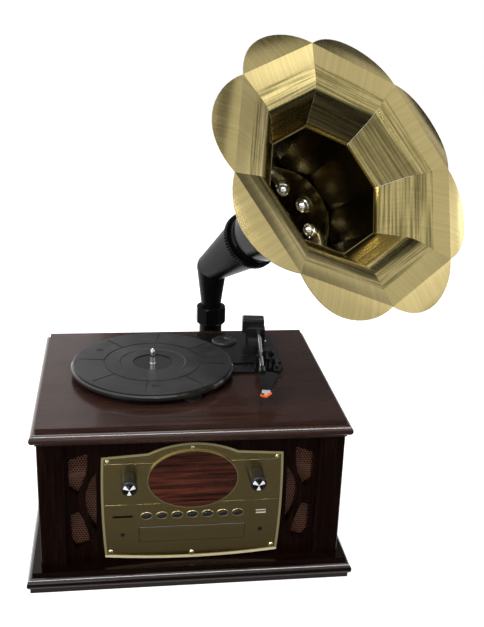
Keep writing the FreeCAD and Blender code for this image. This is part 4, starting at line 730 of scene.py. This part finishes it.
# Tonearm: a chromed tube in a black yoke with its weight behind, and a black head that holds a black cartridge
# with a pale grey mount in front, and a clear red stylus. A chromed screw holds the yoke's right cheek.
ARM_PIVOT = Vector((0.1115, 0.084, 0.256))
ARM_YAW = math.radians(-6.6)
ARM_NOSE = -0.207
MOUNT_LAP = 0.0002
CARTRIDGE_BLACK = (0.01, 0.01, 0.01)
dress(gloss_black, "tonearm_turret", "counterweight")
dress(deck_black, "headshell")
dress(chrome, "tonearm_tube")
cartridge_grey = satin_paint("cartridge_grey", (0.5, 0.5, 0.49), smooth=0.3, dull=0.45, grain=500.0,
                             strength=0.1)
cartridge_tree = cartridge_grey.node_tree
from_pivot_x = tree_math(cartridge_tree, "SUBTRACT", axis_of(cartridge_tree, "X"), ARM_PIVOT.x)
from_pivot_y = tree_math(cartridge_tree, "SUBTRACT", axis_of(cartridge_tree, "Y"), ARM_PIVOT.y)
along_arm = tree_math(cartridge_tree, "ADD",
                      tree_math(cartridge_tree, "MULTIPLY", from_pivot_x, -math.sin(ARM_YAW)),
                      tree_math(cartridge_tree, "MULTIPLY", from_pivot_y, math.cos(ARM_YAW)))
behind_mount = tree_math(cartridge_tree, "GREATER_THAN", along_arm, ARM_NOSE - MOUNT_LAP)
on_top = tree_math(cartridge_tree, "GREATER_THAN", axis_of(cartridge_tree, "Z", "Normal"), LOOKS_UP)
tone_over(cartridge_grey, tree_math(cartridge_tree, "MAXIMUM", behind_mount, on_top), CARTRIDGE_BLACK)
dress(cartridge_grey, "cartridge")

SCREW_AT = (0.0142, -0.003, -0.0145)
SCREW_R = 0.0024
SCREW_SIDES = 24
SCREW_ROWS = 9
SCREW_CROWN = 1.5
yoke_screw = bmesh.new()
on_arm = Matrix.Translation(ARM_PIVOT) @ Matrix.Rotation(ARM_YAW, 4, "Z") @ Matrix.Translation(SCREW_AT)
screw_turns = [math.tau * k / SCREW_SIDES for k in range(SCREW_SIDES)]
screw_rings = []
for rise in np.linspace(0.0, SCREW_CROWN, SCREW_ROWS):
    out, reach = SCREW_R * math.sin(rise), SCREW_R * math.cos(rise)
    screw_rings.append([on_arm @ Vector((out, reach * math.cos(turn), reach * math.sin(turn)))
                        for turn in screw_turns])
swept(yoke_screw, screw_rings)
finished("yoke_screw", yoke_screw, chrome, "turret", smooth=35)

STYLUS_RED = (0.9, 0.13, 0.015)
STYLUS_DEPTH = (0.004, 0.0008, 0.0004)
stylus_finish, stylus_tree, stylus_shader = new_finish("clear_red_stylus", STYLUS_RED, roughness=0.15)
film_on(stylus_tree, stylus_shader, ripple=300.0, smooth=0.12, dull=0.22, strength=0.04, distance=0.0003)
stylus_shader.inputs["Subsurface Weight"].default_value = 0.25
stylus_shader.inputs["Subsurface Radius"].default_value = STYLUS_DEPTH
stylus_shader.inputs["Coat Weight"].default_value = 0.2
dress(stylus_finish, "stylus")


# Horn stand and neck: satin black pipe in a bolted bracket, a faceted coupling nut, a swan-neck casting and a
# ribbed lock ring. The bracket's screws are zinc plated.
NECK_BLACK = (0.003, 0.003, 0.0031)
NECK_GLOSS = 0.08
dress(satin_paint("neck_satin_black", NECK_BLACK, smooth=0.26, dull=0.4, grain=700.0, strength=0.05,
                  gloss=NECK_GLOSS),
      "horn_bracket", "horn_post", "horn_neck", "union_nut", "lock_ring")
dress(polished_metal("zinc_screw", (0.6, 0.6, 0.6), smooth=0.2, dull=0.35), "bracket_screws")


# Horn: brass cup and eight-sided throat, and eight folded petals brushed from throat to lip. Chromed dome nuts
# hold the cup. Each petal is a sheet bent on one curve, cut to its wedge and to a round tip.
HORN_AZIMUTH = math.radians(-58.6)
HORN_RISE = math.radians(35.2)
BEND = Vector((0.0551, 0.188, 0.3258))
horn_along = Vector((math.cos(HORN_RISE) * math.cos(HORN_AZIMUTH),
                     math.cos(HORN_RISE) * math.sin(HORN_AZIMUTH), math.sin(HORN_RISE)))
horn_level = Vector((-math.sin(HORN_AZIMUTH), math.cos(HORN_AZIMUTH), 0.0))
horn_up = horn_along.cross(horn_level)
horn_turn = Matrix((horn_level, horn_up, horn_along)).transposed()
horn_angles = tuple(horn_turn.to_euler("XYZ"))

# The throat's brass is much darker than the petals': painted shade for the deep throat, also inside the cup.
throat_brass_painted_shade = brushed_metal("brushed_throat_brass", (0.10, 0.08, 0.03), (0.22, 0.175, 0.075),
                             rough=(0.12, 0.24), stretch=(500.0, 500.0, 9.0), turn=horn_angles, bump=0.08)
dress(throat_brass_painted_shade, "horn_throat")
dress(chrome, "dome_nuts")


def vector_math(tree, operation, first, second):
    made = add(tree, "ShaderNodeVectorMath", operation=operation)
    for socket, value in zip(made.inputs, (first, second)):
        if isinstance(value, Vector):
            socket.default_value = value
        else:
            tree.links.new(value, socket)
    return made.outputs["Value" if operation == "DOT_PRODUCT" else "Vector"]


cup_finish = throat_brass_painted_shade.copy()
cup_finish.name = "black_backed_cup"
cup_tree = cup_finish.node_tree
from_bend = vector_math(cup_tree, "SUBTRACT", place_on(cup_tree), BEND)
along_axis = vector_math(cup_tree, "PROJECT", from_bend, horn_along)
from_axis = vector_math(cup_tree, "SUBTRACT", from_bend, along_axis)
outward = vector_math(cup_tree, "DOT_PRODUCT", from_axis, place_on(cup_tree, "Normal"))
paint_over(cup_finish, tree_math(cup_tree, "GREATER_THAN", outward, 0.0), NECK_BLACK)
cup_tree.nodes["Principled BSDF"].inputs["Specular IOR Level"].default_value = NECK_GLOSS
dress(cup_finish, "throat_cup")

PETALS = 8
FLARE = ((0.0833, 0.282), (0.0854, 0.292), (0.0935, 0.3045), (0.1065, 0.3205), (0.117, 0.3315),
         (0.126, 0.3365), (0.149, 0.3437), (0.169, 0.350))
LIP = (FLARE[-1], (0.1885, 0.347), (0.208, 0.342))
VALLEY_A = FLARE[-1][0]
TIP_A = 0.2028
PETAL_T = 0.001
HALF_TURN = math.pi / PETALS
SEAM = 0.0002
PETAL_TURN = math.radians(16.9)
CURVE_POINTS = 400


def smooth_curve(points, count):
    """Points along a natural cubic spline through the given ones, spaced by chord length."""
    points = np.array(points)
    knots = np.concatenate([[0.0], np.cumsum(np.linalg.norm(np.diff(points, axis=0), axis=1))])
    gaps = np.diff(knots)
    size = len(points)
    system = np.eye(size)
    right = np.zeros((size, 2))
    for k in range(1, size - 1):
        system[k, k - 1:k + 2] = gaps[k - 1], 2 * (gaps[k - 1] + gaps[k]), gaps[k]
        right[k] = 6 * ((points[k + 1] - points[k]) / gaps[k] - (points[k] - points[k - 1]) / gaps[k - 1])
    bends = np.linalg.solve(system, right)
    places = np.linspace(0.0, knots[-1], count)
    spans = np.clip(np.searchsorted(knots, places, side="right") - 1, 0, size - 2)
    result = []
    for place, k in zip(places, spans):
        a, b = knots[k + 1] - place, place - knots[k]
        h = gaps[k]
        result.append((bends[k] * a ** 3 + bends[k + 1] * b ** 3) / (6 * h)
                      + (points[k] / h - bends[k] * h / 6) * a + (points[k + 1] / h - bends[k + 1] * h / 6) * b)
    return np.array(result)


class Profile:
    """One bent stretch of a petal, asked by its distance from the horn's axis."""

    def __init__(self, points, start):
        curve = smooth_curve(points, CURVE_POINTS)
        slope = np.gradient(curve, axis=0)
        slope /= np.linalg.norm(slope, axis=1)[:, None]
        self.apothem = curve[:, 0]
        self.along = curve[:, 1]
        self.reach = start + np.concatenate([[0.0], np.cumsum(np.linalg.norm(np.diff(curve, axis=0), axis=1))])
        self.behind = np.stack([slope[:, 1], -slope[:, 0]], axis=1)

    def at(self, a):
        behind = Vector([np.interp(a, self.apothem, self.behind[:, i]) for i in (0, 1)])
        return np.interp(a, self.apothem, self.along), behind, np.interp(a, self.apothem, self.reach)


flare = Profile(FLARE, 0.0)
lip = Profile(LIP, flare.reach[-1])
apex = SEAM / 2 / math.sin(HALF_TURN)
valley_y = (VALLEY_A - apex) * math.tan(HALF_TURN)
tip_centre = (TIP_A ** 2 - VALLEY_A ** 2 - valley_y ** 2) / (2 * (TIP_A - VALLEY_A))
tip_r = TIP_A - tip_centre
tip_angle = math.atan2(valley_y, VALLEY_A - tip_centre)
FLARE_ROWS, LIP_ROWS, COLUMNS = 36, 8, 16
LAST = FLARE_ROWS + LIP_ROWS
MAP_STEP = 0.3
before_fold, after_fold = flare.at(VALLEY_A)[1], lip.at(VALLEY_A)[1]
fold_behind = (before_fold + after_fold) / (1.0 + before_fold.dot(after_fold))


def petal_points(step):
    """Front and back points and their map places, row by row from the throat to the fold and on to the lip."""
    turn = Matrix.Rotation(PETAL_TURN + step * math.tau / PETALS, 3, "Z")
    rows = []
    for j in range(LAST + 1):
        line = []
        for k in range(COLUMNS + 1):
            across = 2.0 * k / COLUMNS - 1.0
            if j <= FLARE_ROWS:
                a = np.interp(flare.reach[-1] * j / FLARE_ROWS, flare.reach, flare.apothem)
                y = across * (a - apex) * math.tan(HALF_TURN)
                along, behind, reach = flare.at(a)
                behind = fold_behind if j == FLARE_ROWS else behind
            else:
                share = (j - FLARE_ROWS) / LIP_ROWS
                a = VALLEY_A + share * (tip_centre + tip_r * math.cos(across * tip_angle) - VALLEY_A)
                y = across * valley_y + share * (tip_r * math.sin(across * tip_angle) - across * valley_y)
                along, behind, reach = lip.at(a)
            inner = turn @ Vector((a, y, along))
            outer = turn @ Vector((a + behind.x * PETAL_T, y, along + behind.y * PETAL_T))
            line.append((BEND + horn_turn @ inner, BEND + horn_turn @ outer, (y + MAP_STEP * step, reach)))
        rows.append(line)
    return rows


petals = bmesh.new()
uv_layer = petals.loops.layers.uv.new("brushing")


def petal_side(rows, side):
    """Points of one side; the lip's rows all end at the fold's two corners."""
    grid = [[petals.verts.new(point[side]) for point in line] for line in rows[:FLARE_ROWS + 1]]
    for line in rows[FLARE_ROWS + 1:]:
        middle = [petals.verts.new(point[side]) for point in line[1:-1]]
        grid.append([grid[FLARE_ROWS][0]] + middle + [grid[FLARE_ROWS][-1]])
    return grid


def petal_face(corners, places):
    """One face with its map places; corners that fall together are taken once."""
    kept = [index for index, corner in enumerate(corners) if corner not in corners[:index]]
    face = petals.faces.new([corners[index] for index in kept])
    for loop, index in zip(face.loops, kept):
        loop[uv_layer].uv = places[index]


for step in range(PETALS):
    rows = petal_points(step)
    front, back = petal_side(rows, 0), petal_side(rows, 1)
    for j in range(LAST):
        for k in range(COLUMNS):
            quad = ((j, k), (j, k + 1), (j + 1, k + 1), (j + 1, k))
            petal_face([front[a][b] for a, b in quad], [rows[a][b][2] for a, b in quad])
            quad = quad[::-1]
            petal_face([back[a][b] for a, b in quad], [rows[a][b][2] for a, b in quad])
    border = [(0, k) for k in range(COLUMNS)] + [(j, COLUMNS) for j in range(FLARE_ROWS)]
    border += [(LAST, k) for k in range(COLUMNS, 0, -1)] + [(j, 0) for j in range(FLARE_ROWS, 0, -1)]
    for first, second in zip(border, border[1:] + border[:1]):
        places = [rows[a][b][2] for a, b in (first, second, second, first)]
        petal_face([front[first[0]][first[1]], front[second[0]][second[1]], back[second[0]][second[1]],
                    back[first[0]][first[1]]], places)

DARK_BRASS = (0.36, 0.29, 0.12)
PALE_BRASS = (0.52, 0.425, 0.195)
# Dark olive bands across the flare: partly rolling marks in the brass and partly painted dark reflection bands.
ROLLING_MARK_AND_REFLECTION_OLIVE = (0.13, 0.112, 0.036)
ROLLED_TO = 0.092
petal_brass = brushed_metal("brushed_petal_brass", DARK_BRASS, PALE_BRASS, rough=(0.12, 0.24),
                            stretch=(1300.0, 9.0, 1.0), coord="UV", bump=0.05)
petal_tree = petal_brass.node_tree
rolled_scale = add(petal_tree, "ShaderNodeMapping", Scale=(2.0, 62.0, 1.0))
petal_tree.links.new(place_on(petal_tree, "UV"), rolled_scale.inputs["Vector"])
rolled_noise = add(petal_tree, "ShaderNodeTexNoise", detail=3.0, roughness=0.5)
join(petal_tree, rolled_scale, "Vector", rolled_noise, "Vector")
rolling_mark_and_reflection_band = add(petal_tree, "ShaderNodeMapRange", from_min=0.40, from_max=0.64, to_max=0.85)
join(petal_tree, rolled_noise, "Fac", rolling_mark_and_reflection_band, "Value")
on_flare = tree_math(petal_tree, "LESS_THAN", axis_of(petal_tree, "Y", "UV"), ROLLED_TO)
rolled = tree_math(petal_tree, "MULTIPLY", rolling_mark_and_reflection_band.outputs["Result"], on_flare)
tone_over(petal_brass, rolled, ROLLING_MARK_AND_REFLECTION_OLIVE)
petal_piece = finished("folded_petals", petals, petal_brass, "horn", smooth=18)
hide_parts("horn_petals")


# Studio: a pale floor and a white surround, a large soft key light from the left, a fill, a strip, a top light
# and two small glints, dim and dark cards that give brass and lacquer something to mirror, and the camera at
# the photograph's place.
FLOOR_HALF = 9.0
FLOOR_Z = -0.0005
FLOOR_WHITE = (0.86, 0.86, 0.86)
FLOOR_GLOW = 0.62


def seen_directly(tree):
    """One for camera, mirror and clear rays, and nought for the light that falls on the object."""
    rays = add(tree, "ShaderNodeLightPath")
    seen = tree_math(tree, "MAXIMUM", rays.outputs["Is Camera Ray"], rays.outputs["Is Glossy Ray"])
    return tree_math(tree, "MAXIMUM", seen, rays.outputs["Is Transmission Ray"])


floor_shape = bmesh.new()
bmesh.ops.create_grid(floor_shape, x_segments=1, y_segments=1, size=FLOOR_HALF)
floor_mesh = bpy.data.meshes.new("pale_floor")
floor_shape.to_mesh(floor_mesh)
floor_shape.free()
floor_finish, floor_tree, floor_shader = new_finish("pale_floor", FLOOR_WHITE, roughness=0.9)
floor_shader.inputs["Specular IOR Level"].default_value = 0.0
floor_shader.inputs["Emission Color"].default_value = (1.0, 1.0, 1.0, 1.0)
floor_glow = tree_math(floor_tree, "MULTIPLY", seen_directly(floor_tree), FLOOR_GLOW)
floor_tree.links.new(floor_glow, floor_shader.inputs["Emission Strength"])
floor_mesh.materials.append(floor_finish)
floor = bpy.data.objects.new("pale_floor", floor_mesh)
floor.location.z = FLOOR_Z
bpy.context.scene.collection.objects.link(floor)


def mirrored_card(name, size, place, target, tone=0.03):
    """A card of one grey that is seen only in what mirrors it."""
    shape = bmesh.new()
    bmesh.ops.create_grid(shape, x_segments=1, y_segments=1, size=0.5)
    mesh = bpy.data.meshes.new(name)
    aim = (Vector(target) - Vector(place)).to_track_quat("Z", "Y").to_matrix().to_4x4()
    shape.transform(Matrix.Translation(place) @ aim @ Matrix.Diagonal((size[0], size[1], 1.0, 1.0)))
    shape.to_mesh(mesh)
    shape.free()
    mesh.materials.append(new_finish(name, (tone, tone, tone), roughness=0.9)[0])
    card = bpy.data.objects.new(name, mesh)
    card.visible_camera = False
    card.visible_shadow = False
    card.visible_diffuse = False
    bpy.context.scene.collection.objects.link(card)


mirrored_card("grey_card_floor", (1.5, 0.95), (0.0, -0.66, 0.003), (0.0, -0.66, 1.0), 0.09)
mirrored_card("dark_card_floor", (3.3, 5.0), (2.1, 0.1, 0.002), (2.1, 0.1, 1.0))
mirrored_card("dim_card_front", (3.3, 1.6), (-0.11, -2.13, 1.43), (0.2, 0.05, 0.9), 0.6)
mirrored_card("dark_card_back", (3.2, 2.2), (1.25, 2.09, 1.4), (0.2, 0.05, 1.0), 0.2)
mirrored_card("dark_card_back_top", (3.2, 2.5), (0.75, 1.8, 2.6), (0.75, 1.8, 0.0))
mirrored_card("dim_card_right", (0.3, 0.42), (2.08, 0.6, 1.34), (0.07, -0.09, 0.58), 0.5)
mirrored_card("dark_card_far_right", (0.42, 0.36), (2.08, 1.32, 1.31), (0.33, 0.05, 0.6))
mirrored_card("dark_card_top", (0.45, 0.7), (1.07, -0.3, 2.5), (1.07, -0.3, 0.0), 0.2)
mirrored_card("dark_card_low_right", (4.0, 0.5), (1.8, 0.0, 0.25), (0.0, 0.0, 0.25))
mirrored_card("dark_card_low_front", (2.4, 0.5), (1.0, -1.9, 0.25), (0.2, 0.0, 0.25))


def soft_light(name, size, place, target, watts):
    lamp = bpy.data.lights.new(name, "AREA")
    lamp.shape = "RECTANGLE"
    lamp.size, lamp.size_y = size
    lamp.energy = watts
    light = bpy.data.objects.new(name, lamp)
    light.location = place
    light.rotation_euler = (Vector(target) - Vector(place)).to_track_quat("-Z", "Y").to_euler()
    bpy.context.scene.collection.objects.link(light)


soft_light("soft_key", (1.2, 1.2), (-1.5, -1.5, 1.9), (0.0, 0.0, 0.3), 28.0)
soft_light("soft_fill", (1.6, 1.0), (2.3, 0.0, 0.95), (0.1, 0.0, 0.5), 2.5)
soft_light("soft_glint", (0.5, 0.45), (2.08, 0.02, 1.23), (0.2, 0.05, 0.6), 0.8)
soft_light("soft_lip_glint", (0.24, 0.22), (2.22, 0.70, 0.85), (0.38, 0.03, 0.47), 0.4)
soft_light("soft_strip", (2.4, 0.12), (0.0, -1.25, 2.1), (0.0, 0.0, 0.2), 22.0)
soft_light("soft_top", (1.6, 1.2), (-0.1, 0.85, 2.1), (0.0, 0.0, 0.2), 18.0)

SURROUND_LIGHT = 0.45
SURROUND_SEEN = 1.0
world = bpy.data.worlds.new("white_surround")
world.use_nodes = True
bpy.context.scene.world = world
world_tree = world.node_tree
surround = world_tree.nodes["Background"]
surround.inputs["Color"].default_value = (1.0, 1.0, 1.0, 1.0)
strength = add(world_tree, "ShaderNodeMapRange", to_min=SURROUND_LIGHT, to_max=SURROUND_SEEN)
world_tree.links.new(seen_directly(world_tree), strength.inputs["Value"])
join(world_tree, strength, "Result", surround, "Strength")

CAMERA_AT = (-0.09363, -1.17957, 0.74928)
RIGHT = Vector((0.990685, -0.131899, 0.033833))
UP = Vector((0.013628, 0.343250, 0.939145))
AHEAD = Vector((0.135485, 0.929936, -0.341850))
lens = bpy.data.cameras.new("photo_view")
lens.sensor_width = 36.0
lens.lens = 52.45
camera = bpy.data.objects.new("photo_view", lens)
camera_turn = Matrix((RIGHT, UP, -AHEAD)).transposed().to_4x4()
camera.matrix_world = Matrix.Translation(CAMERA_AT) @ camera_turn
bpy.context.scene.collection.objects.link(camera)
bpy.context.scene.camera = camera
